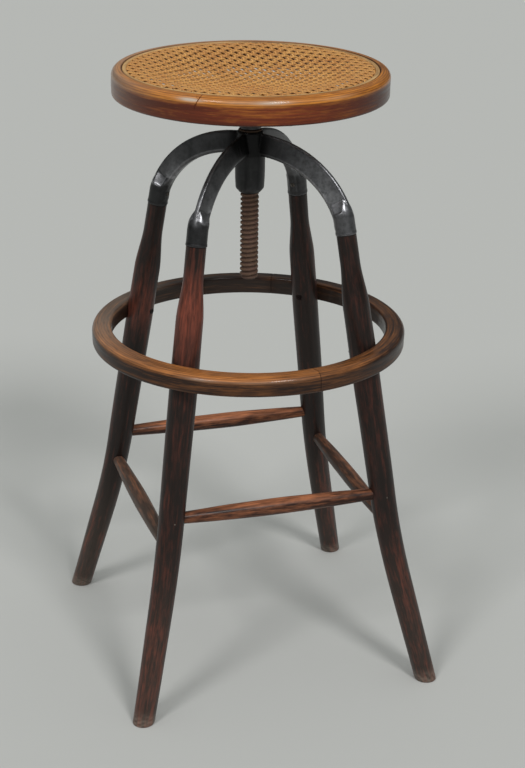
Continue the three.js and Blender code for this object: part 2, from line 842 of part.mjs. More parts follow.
seatScrewPlaces().forEach((place, i) => {
  const length = seatArmThickness + seatGap + seatScrewBite;
  const screw = roundHeadScrew(
    seatScrewHeadDiameter, seatScrewHeadHeight, seatScrewShankDiameter, length);
  const mesh = piece(`seat_screw_${i + 1}`, screw, brightSteel);
  mesh.position.set(place.x, place.y, bossTop - seatGap);
  seat.add(mesh);
});

export default stool;
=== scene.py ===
"""Revolving piano stool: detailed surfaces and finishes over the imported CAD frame.

Lengths are metres in the frame of the CAD: +Z up, origin on the floor on the axis of the height screw.
"""

import math

import bpy
import numpy as np
from bpy.props import FloatProperty, FloatVectorProperty, PointerProperty
from mathutils import Matrix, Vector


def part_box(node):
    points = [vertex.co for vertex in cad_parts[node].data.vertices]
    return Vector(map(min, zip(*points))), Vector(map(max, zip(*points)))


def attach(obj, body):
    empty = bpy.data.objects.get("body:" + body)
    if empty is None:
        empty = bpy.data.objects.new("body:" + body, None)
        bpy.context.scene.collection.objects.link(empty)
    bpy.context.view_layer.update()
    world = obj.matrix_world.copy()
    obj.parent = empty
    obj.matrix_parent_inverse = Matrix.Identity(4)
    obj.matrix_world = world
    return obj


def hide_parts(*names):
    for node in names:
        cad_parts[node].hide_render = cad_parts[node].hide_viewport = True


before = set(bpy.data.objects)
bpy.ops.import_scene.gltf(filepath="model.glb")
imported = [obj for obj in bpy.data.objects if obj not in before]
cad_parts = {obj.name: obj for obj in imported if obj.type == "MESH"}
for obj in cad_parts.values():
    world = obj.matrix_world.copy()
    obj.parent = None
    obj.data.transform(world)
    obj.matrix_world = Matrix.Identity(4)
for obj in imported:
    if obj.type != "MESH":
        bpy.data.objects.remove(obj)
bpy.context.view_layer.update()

bl_info = {
    "name": "Revolving piano stool",
    "version": (1, 0, 0),
    "blender": (4, 5, 0),
    "location": "3D View > Sidebar > Stool",
    "description": "Builds the wood, cane and iron of a revolving piano stool over its CAD frame",
    "category": "Object",
}

# Corners of the stand and the way that each faces, in degrees from +X
corners = {"front_left": 225, "front_right": 315, "rear_right": 45, "rear_left": 135}
# Sides of the stand: the way that each faces, and whether its stretcher is one of the higher pair
sides = {"front": (-90, True), "right": (0, False), "rear": (90, True), "left": (180, False)}


def length(label, description, default):
    """A length that a user may change."""
    return FloatProperty(name=label, description=description, default=default, unit="LENGTH", precision=4)


def share(label, description, default):
    """A plain number that a user may change."""
    return FloatProperty(name=label, description=description, default=default, precision=3)


def colour(label, description, default):
    """A colour that a user may change, in linear light."""
    return FloatVectorProperty(
        name=label, description=description, default=default, subtype="COLOR", size=3, min=0, max=1)


class StoolSizes(bpy.types.PropertyGroup):
    """Driving sizes of the surfaces that the frame's boxes don't give."""

    foot_radius: length("Foot radius", "From the screw axis to the middle of a foot", 0.2813)
    slope_low: share("Lower slope", "Lean of a leg under its bend, sideways for each length up", 0.318)
    slope_high: share("Upper slope", "Lean of a leg over its bend, sideways for each length up", 0.186)
    bend_height: length("Bend height", "Height of the middle of a leg's bend", 0.2)
    bend_reach: length("Bend reach", "Half the height that a leg's bend takes", 0.06)
    foot_diameter: length("Foot diameter", "Leg diameter at the floor", 0.0285)
    belly_diameter: length("Belly diameter", "Leg diameter at its thickest", 0.0363)
    shoulder_diameter: length("Shoulder diameter", "Leg diameter where it starts to narrow", 0.035)
    neck_diameter: length("Neck diameter", "Leg diameter under its socket", 0.0258)
    tenon_diameter: length("Tenon diameter", "Leg diameter inside its socket", 0.019)
    socket_height: length("Socket height", "Height of the lower end of a socket", 0.6152)
    socket_diameter: length("Socket diameter", "Outer diameter of a leg socket", 0.0268)
    socket_straight: length("Socket straight", "Part of a socket that is in line with its leg", 0.02)
    socket_round: length("Socket round part", "Part of a socket that is fully round", 0.03)
    socket_length: length("Socket length", "Lower end of a socket to the top of its flats", 0.044)
    arm_depth_hub: length("Arm depth at the hub", "Height of an iron arm at the hub", 0.0286)
    arm_depth_socket: length("Arm depth at the socket", "Depth of an iron arm at its socket", 0.0262)
    arm_edge: length("Arm edge", "Thickness of an iron arm at its outer edge", 0.0062)
    arm_root: length("Arm root", "Greatest thickness of an iron arm, near its inner edge", 0.0164)
    thread_lead: length("Thread lead", "Rise of the height screw in a full turn", 0.00635)
    thread_depth: length("Thread depth", "From the thread's crest to its root", 0.0021)
    cane_pitch: length("Cane pitch", "From one pair of strands to the next", 0.01315)
    cane_turn: share("Cane turn", "Way of the crosswise strands, in degrees from +X", -46.2)
    strand_width: length("Strand width", "Width of one strand of cane", 0.0023)
    strand_thickness: length("Strand thickness", "Thickness of one strand of cane", 0.0011)
    cane_sag: length("Cane sag", "How far the middle of the cane has sunk", 0.014)
    stretcher_middle: length("Stretcher middle", "Diameter at the middle of a stretcher", 0.0225)
    stretcher_end: length("Stretcher end", "Diameter at the ends of a stretcher", 0.016)


class StoolColours(bpy.types.PropertyGroup):
    """Colours of the finishes, in linear light."""

    leg_dark: colour("Leg stain", "Stain of the legs where it is whole", (0.018, 0.0085, 0.0068))
    leg_worn: colour("Leg wear", "Legs where the stain is worn", (0.200, 0.044, 0.024))
    ring_dark: colour("Foot ring stain", "Stain of the foot ring where it is whole", (0.036, 0.015, 0.0090))
    # Also paints a highlight on the front of the outer face
    ring_worn: colour("Foot ring wear", "Foot ring where shoes have worn it", (0.45, 0.165, 0.042))
    stretcher_dark: colour("Stretcher stain", "Stain of the stretchers", (0.035, 0.014, 0.009))
    stretcher_worn: colour("Stretcher wear", "Stretchers where they are worn", (0.46, 0.165, 0.072))
    seat_dark: colour("Seat side", "Old stain on the side of the seat ring", (0.160, 0.028, 0.0080))
    seat_worn: colour("Seat top", "Top of the seat ring", (0.50, 0.180, 0.022))
    cane_light: colour("Cane", "New looking cane", (0.98, 0.52, 0.135))
    # Its darkest share also paints shade where strands go under
    cane_dark: colour("Cane shade", "Darker strands and old dirt", (0.60, 0.215, 0.034))
    spline_dark: colour("Spline stain", "Spline where old dirt lies", (0.30, 0.145, 0.050))
    spline_worn: colour("Spline", "Reed of the spline", (0.56, 0.345, 0.145))
    # Its darkest share also paints shade round the hub and a shadow between the arms
    iron_black: colour("Iron", "Black of the cast iron", (0.064, 0.064, 0.066))
    # Also paints highlights on the sockets' flats
    iron_worn: colour("Iron wear", "Bare iron on worn edges", (0.38, 0.38, 0.40))
    screw_rust: colour("Screw rust", "Rust on the height screw", (0.205, 0.112, 0.082))
    screw_dark: colour("Screw dirt", "Old grease in the thread", (0.080, 0.043, 0.030))
    steel_aged: colour("Aged steel", "Steel of the screws and brads", (0.20, 0.175, 0.15))
    leather_dark: colour("Leather", "Leather of the wear washer", (0.060, 0.034, 0.020))
    floor_pale: colour("Floor", "Plain pale floor", (0.60, 0.60, 0.58))


def smooth_step(value):
    """3t^2 - 2t^3 with t held between 0 and 1."""
    t = np.clip(value, 0.0, 1.0)
    return t * t * (3.0 - 2.0 * t)


def bump_at(value, middle, half_width):
    """exp(-((value - middle) / half width)^2): 1 at the middle and near 0 two half widths away."""
    return np.exp(-(((value - middle) / half_width) ** 2))


def ripple(first, second, seed, waves=5):
    """Slow unevenness between -1 and 1: the mean of sines of two angles at whole rates, so that it closes on
    itself."""
    draw = np.random.default_rng(seed)
    total = 0.0
    for _ in range(waves):
        rates = draw.integers(1, 5, 2)
        phase = draw.uniform(0, 2 * math.pi)
        total = total + np.sin(rates[0] * first + rates[1] * second + phase)
    return total / waves


def arc(centre, radius, start, end, steps=7):
    """Points of a round corner: centre + radius (cos a, sin a), with a from start to end in degrees."""
    angles = np.radians(np.linspace(start, end, steps))
    return np.stack([centre[0] + radius * np.cos(angles), centre[1] + radius * np.sin(angles)], -1)


def run(start, end, steps):
    """Points on a straight line between two points, without its ends."""
    t = np.linspace(0, 1, steps + 2)[1:-1, None]
    return (1 - t) * np.array(start) + t * np.array(end)


def rounded_bar(width, depth, round_radius, steps=5):
    """Rectangle round the origin, width by depth, with a quarter circle at each corner."""
    x = width / 2 - round_radius
    y = depth / 2 - round_radius
    return np.concatenate([
        arc((x, -y), round_radius, -90, 0, steps), arc((x, y), round_radius, 0, 90, steps),
        arc((-x, y), round_radius, 90, 180, steps), arc((-x, -y), round_radius, 180, 270, steps)])


def revolved(profile, angles):
    """Rings of a profile of (radius, height) points turned about Z: (r cos a, r sin a, z)."""
    radius, height = profile[None, :, 0], profile[None, :, 1]
    a = np.asarray(angles)[:, None]
    return np.stack(np.broadcast_arrays(radius * np.cos(a), radius * np.sin(a), height), -1)


def stacked(radius, height, columns):
    """Rings round Z, one for each radius and height: (r cos a, r sin a, z)."""
    a = np.linspace(0, 2 * math.pi, columns, endpoint=False)[None, :]
    r, z = np.asarray(radius)[:, None], np.asarray(height)[:, None]
    return np.stack(np.broadcast_arrays(r * np.cos(a), r * np.sin(a), z), -1)


def grid_faces(rows, columns, wrap_rows):
    """Quads between neighbouring points of a grid whose columns close on themselves, and its rows if
    asked."""
    r = np.arange(rows if wrap_rows else rows - 1)[:, None]
    c = np.arange(columns)[None, :]
    below, right = (r + 1) % rows, (c + 1) % columns
    corners_of = [r * columns + c, r * columns + right, below * columns + right, below * columns + c]
    return np.stack(np.broadcast_arrays(*corners_of), -1).reshape(-1, 4)


def signed_volume(points, faces):
    """Sum of the volumes between the origin and every face, positive where the faces point outwards."""
    total = 0.0
    for i in range(1, faces.shape[1] - 1):
        a, b, c = points[faces[:, 0]], points[faces[:, i]], points[faces[:, i + 1]]
        total += np.einsum("ij,ij->i", a, np.cross(b, c)).sum()
    return total


def skin(rings, closed=False, **values):
    """Skin over a stack of rings, rings[i, j] being point j of ring i. Closed joins the last ring to the
    first; otherwise each end gets a fan of triangles round its middle. Values are attributes on the same
    grid."""
    rows, columns = rings.shape[:2]
    flat = {}
    for key, value in {"position": rings, **values}.items():
        value = np.broadcast_to(value, (rows, columns) + np.shape(value)[2:]).astype(float)
        parts = [value.reshape((rows * columns,) + value.shape[2:])]
        if not closed:
            parts.append(np.stack([value[0].mean(0), value[-1].mean(0)]))
        flat[key] = np.concatenate(parts)
    quads = grid_faces(rows, columns, closed)
    triangles = np.zeros((0, 3), int)
    if not closed:
        here = np.arange(columns)
        there = np.roll(here, -1)
        start, end = rows * columns, rows * columns + 1
        last = (rows - 1) * columns
        first_fan = np.stack([np.full(columns, start), there, here], -1)
        last_fan = np.stack([np.full(columns, end), last + here, last + there], -1)
        triangles = np.concatenate([first_fan, last_fan])
    points = flat["position"]
    volume = signed_volume(points, quads)
    if len(triangles):
        volume += signed_volume(points, triangles)
    if volume < 0:
        quads, triangles = quads[:, ::-1], triangles[:, ::-1]
    return {"quads": quads, "triangles": triangles, "values": flat}


def skins_mesh(name, skins):
    """One mesh of several closed skins, with their attributes on its points."""
    starts = np.cumsum([0] + [len(s["values"]["position"]) for s in skins])
    quads = np.concatenate([s["quads"] + start for s, start in zip(skins, starts)])
    triangles = np.concatenate([s["triangles"] + start for s, start in zip(skins, starts)])
    values = {k: np.concatenate([s["values"][k] for s in skins]) for k in skins[0]["values"]}
    mesh = bpy.data.meshes.new(name)
    mesh.from_pydata(values.pop("position").tolist(), [], quads.tolist() + triangles.tolist())
    for key, value in values.items():
        write_attribute(mesh, key, value)
    return mesh


def write_attribute(mesh, key, value):
    """Puts one number or one vector for each point on a mesh."""
    is_vector = np.ndim(value) == 2
    attribute = mesh.attributes.new(key, "FLOAT_VECTOR" if is_vector else "FLOAT", "POINT")
    attribute.data.foreach_set("vector" if is_vector else "value", np.ascontiguousarray(value, "f4").ravel())


def mesh_points(mesh, what="co"):
    """Places, or normals, of a mesh's points as an array."""
    values = np.empty(len(mesh.vertices) * 3)
    mesh.vertices.foreach_get(what, values)
    return values.reshape(-1, 3)


def place(mesh, name, finish, body, stands_for, slot, crease=35):
    """Makes the object of a finished mesh: shaded smooth up to the crease angle, with its finish, riding on
    its body in place of its CAD nodes."""
    mesh.shade_smooth()
    mesh.set_sharp_from_angle(angle=math.radians(crease))
    mesh.materials.clear()
    mesh.materials.append(finish)
    piece = bpy.data.objects.new(name, mesh)
    bpy.context.scene.collection.objects.link(piece)
    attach(piece, body)
    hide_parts(*stands_for)
    return piece


def turn_z(points, degrees):
    """Points turned about Z: (x cos a - y sin a, x sin a + y cos a, z)."""
    a = math.radians(degrees)
    x, y, z = np.moveaxis(np.asarray(points, float), -1, 0)
    return np.stack([x * math.cos(a) - y * math.sin(a), x * math.sin(a) + y * math.cos(a), z], -1)


def aim(points, origin, direction, roll=0.0):
    """Points drawn along +Z turned towards a direction, after a roll about their own axis, and moved to an
    origin."""
    z = np.array(direction, float)
    z /= np.linalg.norm(z)
    helper = np.array([0.0, 0.0, 1.0]) if abs(z[2]) < 0.9 else np.array([1.0, 0.0, 0.0])
    x = np.cross(helper, z)
    x /= np.linalg.norm(x)
    return turn_z(points, roll) @ np.stack([x, np.cross(z, x), z]) + np.asarray(origin)


def casting(name, skins, voxel, rounds, keep):
    """Iron casting: several closed skins made one by a voxel remesh, smoothed so that every inner corner gets
    a fillet, and thinned to a share of its faces."""
    rough = bpy.data.objects.new(name + "_rough", skins_mesh(name + "_rough", skins))
    bpy.context.scene.collection.objects.link(rough)
    remesh = rough.modifiers.new("Join", "REMESH")
    remesh.mode = "VOXEL"
    remesh.voxel_size = voxel
    fillet = rough.modifiers.new("Fillet", "SMOOTH")
    fillet.factor = 0.5
    fillet.iterations = rounds
    thin = rough.modifiers.new("Thin", "DECIMATE")
    thin.ratio = keep
    depsgraph = bpy.context.evaluated_depsgraph_get()
    mesh = bpy.data.meshes.new_from_object(rough.evaluated_get(depsgraph))
    mesh.name = name
    left_over = rough.data
    bpy.data.objects.remove(rough)
    bpy.data.meshes.remove(left_over)
    return mesh


def edge_wear(mesh, rounds=3):
    """How far each point stands out from the mean of its neighbours along its normal, smoothed over the mesh:
    about 1 on a sharp outer edge, 0 on a flat face, negative in a corner."""
    sharp_edge = 6.0
    points, normals = mesh_points(mesh), mesh_points(mesh, "normal")
    edges = np.empty(len(mesh.edges) * 2, int)
    mesh.edges.foreach_get("vertices", edges)
    a, b = edges.reshape(-1, 2).T
    count = np.bincount(np.concatenate([a, b]), minlength=len(points))
    step = np.linalg.norm(points[a] - points[b], axis=1).mean()

    def spread(values):
        """Mean of the neighbours' values."""
        total = np.zeros_like(values)
        np.add.at(total, a, values[b])
        np.add.at(total, b, values[a])
        return total / np.maximum(count, 1).reshape((-1,) + (1,) * (values.ndim - 1))

    stand_out = np.einsum("ij,ij->i", points - spread(points), normals) / step
    for _ in range(rounds):
        stand_out = 0.5 * stand_out + 0.5 * spread(stand_out)
    return stand_out * sharp_edge


# Finishes


def node(tree, kind, inputs=None, **settings):
    """One shader node. Inputs are sockets by name or number, each with a number or another node's output."""
    made = tree.nodes.new(kind)
    for key, value in settings.items():
        setattr(made, key, value)
    for key, value in (inputs or {}).items():
        if isinstance(value, bpy.types.NodeSocket):
            tree.links.new(value, made.inputs[key])
        else:
            made.inputs[key].default_value = value
    return made


def new_finish(name, **sockets):
    """A material with one Principled shader, and the numbers that are the same all over it on its own
    sockets. A finish that exists already is given back with no nodes to fill."""
    material = bpy.data.materials.get(name)
    if material:
        return material, None, None
    material = bpy.data.materials.new(name)
    material.use_nodes = True
    shader = material.node_tree.nodes["Principled BSDF"]
    for key, value in sockets.items():
        shader.inputs[key.replace("_", " ")].default_value = value
    return material, material.node_tree, shader


def attribute(tree, name, output="Fac"):
    """An attribute of the piece's points."""
    return node(tree, "ShaderNodeAttribute", attribute_name=name).outputs[output]


def object_place(tree):
    """Object coordinates."""
    return node(tree, "ShaderNodeTexCoord").outputs["Object"]


def noise(tree, vector, scale, detail=3.0, rough=0.55, depth=None, distortion=0.0):
    """Soft noise between 0 and 1 in the three numbers of a vector, and in a fourth where depth is given."""
    made = node(tree, "ShaderNodeTexNoise", noise_dimensions="4D" if depth else "3D", inputs={
        "Vector": vector, "Scale": scale, "Detail": detail, "Roughness": rough, "Distortion": distortion})
    if depth:
        tree.links.new(depth, made.inputs["W"])
    return made.outputs["Fac"]


def spread_out(tree, value, low, high, to_low=0.0, to_high=1.0):
    """Value between low and high drawn out to between to_low and to_high, and held there."""
    return node(tree, "ShaderNodeMapRange", inputs={
        "Value": value, "From Min": low, "From Max": high, "To Min": to_low, "To Max": to_high}).outputs[0]


def maths(tree, operation, first, second=0.5, clamp=False):
    """One sum on two numbers."""
    made = node(tree, "ShaderNodeMath", {0: first, 1: second}, operation=operation, use_clamp=clamp)
    return made.outputs[0]


def mixed(tree, factor, first, second):
    """Two colours mixed by a factor."""
    opaque = [tuple(c) + (1.0,) if not isinstance(c, bpy.types.NodeSocket) else c for c in (first, second)]
    return node(tree, "ShaderNodeMix", {0: factor, 6: opaque[0], 7: opaque[1]}, data_type="RGBA").outputs[2]


def relief(tree, shader, height, strength, distance):
    """Fine relief on a shader."""
    made = node(tree, "ShaderNodeBump", {"Height": height, "Strength": strength, "Distance": distance})
    tree.links.new(made.outputs[0], shader.inputs["Normal"])


def wood_finish(name, dark, worn, pores=0.5, streaks=0.5, gloss=0.42, coat=0.25, coat_rough=0.2,
                growth=0.0026, lean=(0.75, 0.0, -0.66), growth_shown=0.5, wander=1.4,
                speckle=0.5, fleck_way=(1, 4, 4), shine=0.3, fineness=1.0):
    """Stained wood, worn by use. The attributes grain and depth run across the grain at full scale and along
    it at a small share. Wear is 0 where the stain is whole and 1 where it is gone, and on the foot ring's
    front face it also paints a highlight; stain is how much blacker old dirt and other darkening have made
    it;
    and pale is how much it is scuffed or bleached, with painted highlights on the seat ring's rim and the
    foot ring's edge and painted sheen on the seat ring's top. Growth is the width of a year's ring, lean how
    much of it each number of the grain, and the depth, crosses, and wander how far it strays. Flecks are
    short marks along the grain, which fleck_way shortens, and fineness says how much narrower than usual the
    streaks are."""
    material, tree, shader = new_finish(
        name, Specular_IOR_Level=shine, Coat_Weight=coat, Coat_Roughness=coat_rough, Coat_IOR=1.4)
    if not tree:
        return material
    grain, depth = attribute(tree, "grain", "Vector"), attribute(tree, "depth")
    wear = attribute(tree, "wear")
    broad = spread_out(tree, noise(tree, grain, 70 * fineness, 3, 0.5, depth, 0.6), 0.34, 0.66)
    fine = spread_out(tree, noise(tree, grain, 330 * fineness, 4, 0.6, depth, 0.3), 0.32, 0.68)
    lines = spread_out(tree, noise(tree, grain, 950, 2, 0.5, depth), 0.30, 0.46)
    figure = maths(tree, "ADD", maths(tree, "MULTIPLY", broad, 0.5), maths(tree, "MULTIPLY", fine, 0.5))
    patchy = maths(tree, "MULTIPLY", maths(tree, "SUBTRACT", figure, 0.5), 2.0 * streaks)
    closer = node(tree, "ShaderNodeVectorMath", {0: grain, 1: fleck_way}, operation="MULTIPLY").outputs[0]
    flecks = spread_out(tree, noise(tree, closer, 260, 3, 0.6, depth), 0.36, 0.64, -speckle / 2, speckle / 2)
    patchy = maths(tree, "ADD", patchy, flecks)
    bare = maths(tree, "ADD", wear, patchy, clamp=True)
    light = [min(1.0, c * 1.45) for c in worn]
    bare_colour = mixed(tree, fine, worn, light)
    deep = mixed(tree, broad, [c * 0.62 for c in dark], [c * 1.5 for c in dark])
    base = mixed(tree, bare, deep, bare_colour)
    dirt = maths(tree, "MULTIPLY", maths(tree, "SUBTRACT", 1.0, lines), pores, clamp=True)
    base = mixed(tree, dirt, base, [c * 0.55 for c in dark])
    parts = node(tree, "ShaderNodeSeparateXYZ", {0: grain}).outputs
    years = maths(tree, "MULTIPLY", noise(tree, grain, 60, 2, 0.5, depth), wander)
    for part, weight in zip((parts[0], parts[1], depth), lean):
        years = maths(tree, "ADD", years, maths(tree, "MULTIPLY", part, weight / growth))
    early = spread_out(tree, maths(tree, "FRACT", years), 0.12, 0.34, growth_shown, 0.0)
    early = maths(tree, "MULTIPLY", early, spread_out(tree, fine, 0.0, 1.0, 1.0, 0.5))
    base = mixed(tree, early, base, [c * 0.6 for c in dark])
    # Pale scuffs, with painted highlights on the seat ring's rim and the foot ring's edge and painted sheen
    # on the seat ring's top
    scuffed = maths(tree, "MULTIPLY", attribute(tree, "pale"), spread_out(tree, lines, 0, 1, 0.6, 1))
    base = mixed(tree, scuffed, base, (0.62, 0.50, 0.40))
    black = maths(tree, "MULTIPLY", attribute(tree, "stain"), spread_out(tree, fine, 0, 1, 1.0, 0.7))
    base = mixed(tree, black, base, [c * 0.22 for c in dark])
    tree.links.new(base, shader.inputs["Base Color"])
    rough = spread_out(tree, fine, 0.0, 1.0, gloss - 0.07, gloss + 0.13)
    tree.links.new(rough, shader.inputs["Roughness"])
    height = maths(tree, "ADD", maths(tree, "MULTIPLY", lines, 0.7), maths(tree, "MULTIPLY", fine, 0.3))
    relief(tree, shader, height, 0.35, 0.0004)
    return material


def iron_finish(name, black, worn):
    """Black cast iron with a faint cast skin, rubbed to bare metal where the attribute wear is high, which
    also carries painted highlights, and blacker where the attribute grease is, which also carries painted
    shade."""
    material, tree, shader = new_finish(
        name, Metallic=0.9, Specular_IOR_Level=0.5, Coat_Weight=0.22, Coat_Roughness=0.2)
    if not tree:
        return material
    where = object_place(tree)
    cloud = spread_out(tree, noise(tree, where, 45, 4, 0.6), 0.35, 0.65)
    grit = noise(tree, where, 900, 3, 0.6)
    wear = maths(tree, "MULTIPLY", attribute(tree, "wear"),
                 spread_out(tree, noise(tree, where, 160, 4, 0.65), 0.32, 0.62, 0.35, 1.0), clamp=True)
    base = mixed(tree, cloud, [c * 0.75 for c in black], [c * 1.5 for c in black])
    base = mixed(tree, wear, base, worn)
    # grease also carries painted shade round the hub and a painted shadow between the arms
    grease = attribute(tree, "grease")
    base = mixed(tree, grease, base, [c * 0.12 for c in black])
    tree.links.new(base, shader.inputs["Base Color"])
    rough = spread_out(tree, cloud, 0.0, 1.0, 0.30, 0.42)
    rough = maths(tree, "ADD", rough, maths(tree, "MULTIPLY", grease, 0.2))
    tree.links.new(rough, shader.inputs["Roughness"])
    relief(tree, shader, grit, 0.25, 0.0003)
    return material


def screw_finish(name, rust, dirt):
    """Rusty steel thread: rust on the crests, old grease in the roots. The attribute wear is 1 on a crest."""
    material, tree, shader = new_finish(name, Metallic=0.25, Specular_IOR_Level=0.4)
    if not tree:
        return material
    where = object_place(tree)
    patches = spread_out(tree, noise(tree, where, 70, 4, 0.6), 0.36, 0.64)
    crumbs = noise(tree, where, 700, 4, 0.65)
    crest = attribute(tree, "wear")
    rusty = mixed(tree, patches, rust, [rust[0] * 0.95, rust[1] * 1.12, rust[2] * 0.85])
    rusty = mixed(tree, spread_out(tree, crumbs, 0.35, 0.65), [c * 0.6 for c in rust], rusty)
    base = mixed(tree, spread_out(tree, crest, 0.15, 0.75), dirt, rusty)
    tree.links.new(base, shader.inputs["Base Color"])
    tree.links.new(spread_out(tree, crumbs, 0.3, 0.7, 0.45, 0.7), shader.inputs["Roughness"])
    relief(tree, shader, crumbs, 0.4, 0.0003)
    return material


def steel_finish(name, steel):
    """Aged steel of small fasteners, with dark stains."""
    material, tree, shader = new_finish(name, Metallic=0.75, Specular_IOR_Level=0.5)
    if not tree:
        return material
    where = object_place(tree)
    stain = spread_out(tree, noise(tree, where, 420, 4, 0.65), 0.38, 0.62)
    tree.links.new(mixed(tree, stain, [c * 0.35 for c in steel], steel), shader.inputs["Base Color"])
    tree.links.new(spread_out(tree, stain, 0.0, 1.0, 0.6, 0.38), shader.inputs["Roughness"])
    relief(tree, shader, stain, 0.2, 0.0002)
    return material


def cane_finish(name, light, dark):
    """Split cane: glossy straw skin with long fibres. The attribute strand holds the place across and along a
    strand, tone is the strand's own shade, and deep darkens it: painted shade where it goes under, its edges
    and underside."""
    material, tree, shader = new_finish(
        name, Specular_IOR_Level=0.5, Coat_Weight=0.3, Coat_Roughness=0.3, Sheen_Weight=0.08)
    if not tree:
        return material
    strand = attribute(tree, "strand", "Vector")
    tone = attribute(tree, "tone")
    fibres = spread_out(tree, noise(tree, strand, 1500, 3, 0.6), 0.35, 0.65)
    where = object_place(tree)
    age = spread_out(tree, noise(tree, where, 22, 3, 0.5), 0.36, 0.66)
    shade = maths(tree, "ADD", maths(tree, "MULTIPLY", fibres, 0.35), maths(tree, "MULTIPLY", tone, 0.4))
    shade = maths(tree, "ADD", shade, maths(tree, "MULTIPLY", age, 0.25), clamp=True)
    straw = mixed(tree, shade, light, dark)
    straw_with_painted_shade = mixed(tree, attribute(tree, "deep"), straw, [c * 0.28 for c in dark])
    tree.links.new(straw_with_painted_shade, shader.inputs["Base Color"])
    tree.links.new(spread_out(tree, fibres, 0.0, 1.0, 0.30, 0.46), shader.inputs["Roughness"])
    relief(tree, shader, fibres, 0.25, 0.0002)
    return material


def leather_finish(name, leather):
    """Hard dark leather."""
    material, tree, shader = new_finish(name, Specular_IOR_Level=0.35)
    if not tree:
        return material
    where = object_place(tree)
    creases = noise(tree, where, 600, 4, 0.6)
    tree.links.new(mixed(tree, creases, [c * 0.6 for c in leather], [c * 1.5 for c in leather]),
                   shader.inputs["Base Color"])
    tree.links.new(spread_out(tree, creases, 0.3, 0.7, 0.55, 0.75), shader.inputs["Roughness"])
    relief(tree, shader, creases, 0.4, 0.0003)
    return material


def floor_finish(name, pale):
    """Plain pale studio floor."""
    material, tree, shader = new_finish(name, Roughness=0.85, Specular_IOR_Level=0.2)
    if tree:
        shader.inputs["Base Color"].default_value = tuple(pale) + (1.0,)
    return material


# Shapes

# Share of a length along the grain that its pattern sees, so that streaks come out long
grain_stretch = 0.05
# Clearance between two pieces
piece_gap = 0.0003
# Width of the seat ring, and of the spline in its groove
seat_ring_width, spline_width = 0.038, 0.0054
# Heights of a leg's belly, shoulder and neck as shares of its height to the socket, and how full it swells
belly_share, shoulder_share, neck_share, swell_power = 0.71, 0.844, 0.94, 1.35
# How far an arm runs level from the hub, and on in line with its leg, as shares of its reach and its rise
arm_root_share, arm_drop_share = 0.8, 0.05
# Where an arm is thickest, as a share of half its depth: -1 is its inner edge and 1 its outer edge
arm_thickest = -0.72
# Hub above the top of the arms, and how far in the flats of a socket start
hub_rim, socket_ledge = 0.0022, 0.0018


def ring_grain(rings, angles, middle_radius):
    """Grain of a bent hoop, as (radius, R cos a s, R sin a s) with s the stretch, and its height as depth."""
    radius = np.hypot(rings[..., 0], rings[..., 1])
    a = np.broadcast_to(np.asarray(angles)[:, None], radius.shape)
    along = middle_radius * grain_stretch
    return np.stack([radius, along * np.cos(a), along * np.sin(a)], -1), rings[..., 2]


def hoop_angles(count, joints, reach, extra):
    """Even angles round a hoop, with extra ones packed near its joints, so that a narrow line can be cut
    there."""
    angles = np.linspace(-math.pi, math.pi, count, endpoint=False)
    for joint in joints:
        packed = joint + np.linspace(-1, 1, extra) * reach
        angles = np.unique(np.concatenate([angles[np.abs(angles - joint) > reach], packed]))
    return angles


def ways_round(angles):
    """A function of a way round a hoop and a width, both in degrees: 1 at that way and near 0 two widths
    away."""
    return lambda way, width: bump_at((np.degrees(angles) - way + 180) % 360 - 180, 0, width)


def leg_frames(height, sizes):
    """Middle, direction up and direction outwards of a leg drawn on +X, at each height. Its middle is
    straight under and over the bend and a parabola within it, so its lean changes evenly over the bend."""
    past = height - sizes.bend_height
    reach = sizes.bend_reach
    at_bend = sizes.foot_radius - sizes.slope_low * sizes.bend_height
    low, high = at_bend - sizes.slope_low * past, at_bend - sizes.slope_high * past
    bent = low + (sizes.slope_low - sizes.slope_high) * (past + reach) ** 2 / (4 * reach)
    radius = np.where(past <= -reach, low, np.where(past >= reach, high, bent))
    bent_share = np.clip((past + reach) / (2 * reach), 0, 1)
    lean = sizes.slope_low + (sizes.slope_high - sizes.slope_low) * bent_share
    size = np.hypot(lean, 1.0)
    zero = np.zeros_like(lean)
    middle = np.stack([radius, zero, height], -1)
    along = np.stack([-lean / size, zero, 1 / size], -1)
    outwards = np.stack([1 / size, zero, lean / size], -1)
    return middle, along, outwards


def leg_radius(height, sizes):
    """Half the leg's diameter: swells from foot to belly, barely narrows to the shoulder, then to the
    neck."""
    up = height / sizes.socket_height
    swell = 1 - (1 - np.clip(up / belly_share, 0, 1)) ** swell_power
    to_belly = sizes.foot_diameter + (sizes.belly_diameter - sizes.foot_diameter) * swell
    first = smooth_step((up - belly_share) / (shoulder_share - belly_share))
    second = smooth_step((up - shoulder_share) / (neck_share - shoulder_share))
    to_shoulder = sizes.belly_diameter + (sizes.shoulder_diameter - sizes.belly_diameter) * first
    to_neck = sizes.shoulder_diameter + (sizes.neck_diameter - sizes.shoulder_diameter) * second
    return np.where(up < belly_share, to_belly, np.where(up < shoulder_share, to_shoulder, to_neck)) / 2


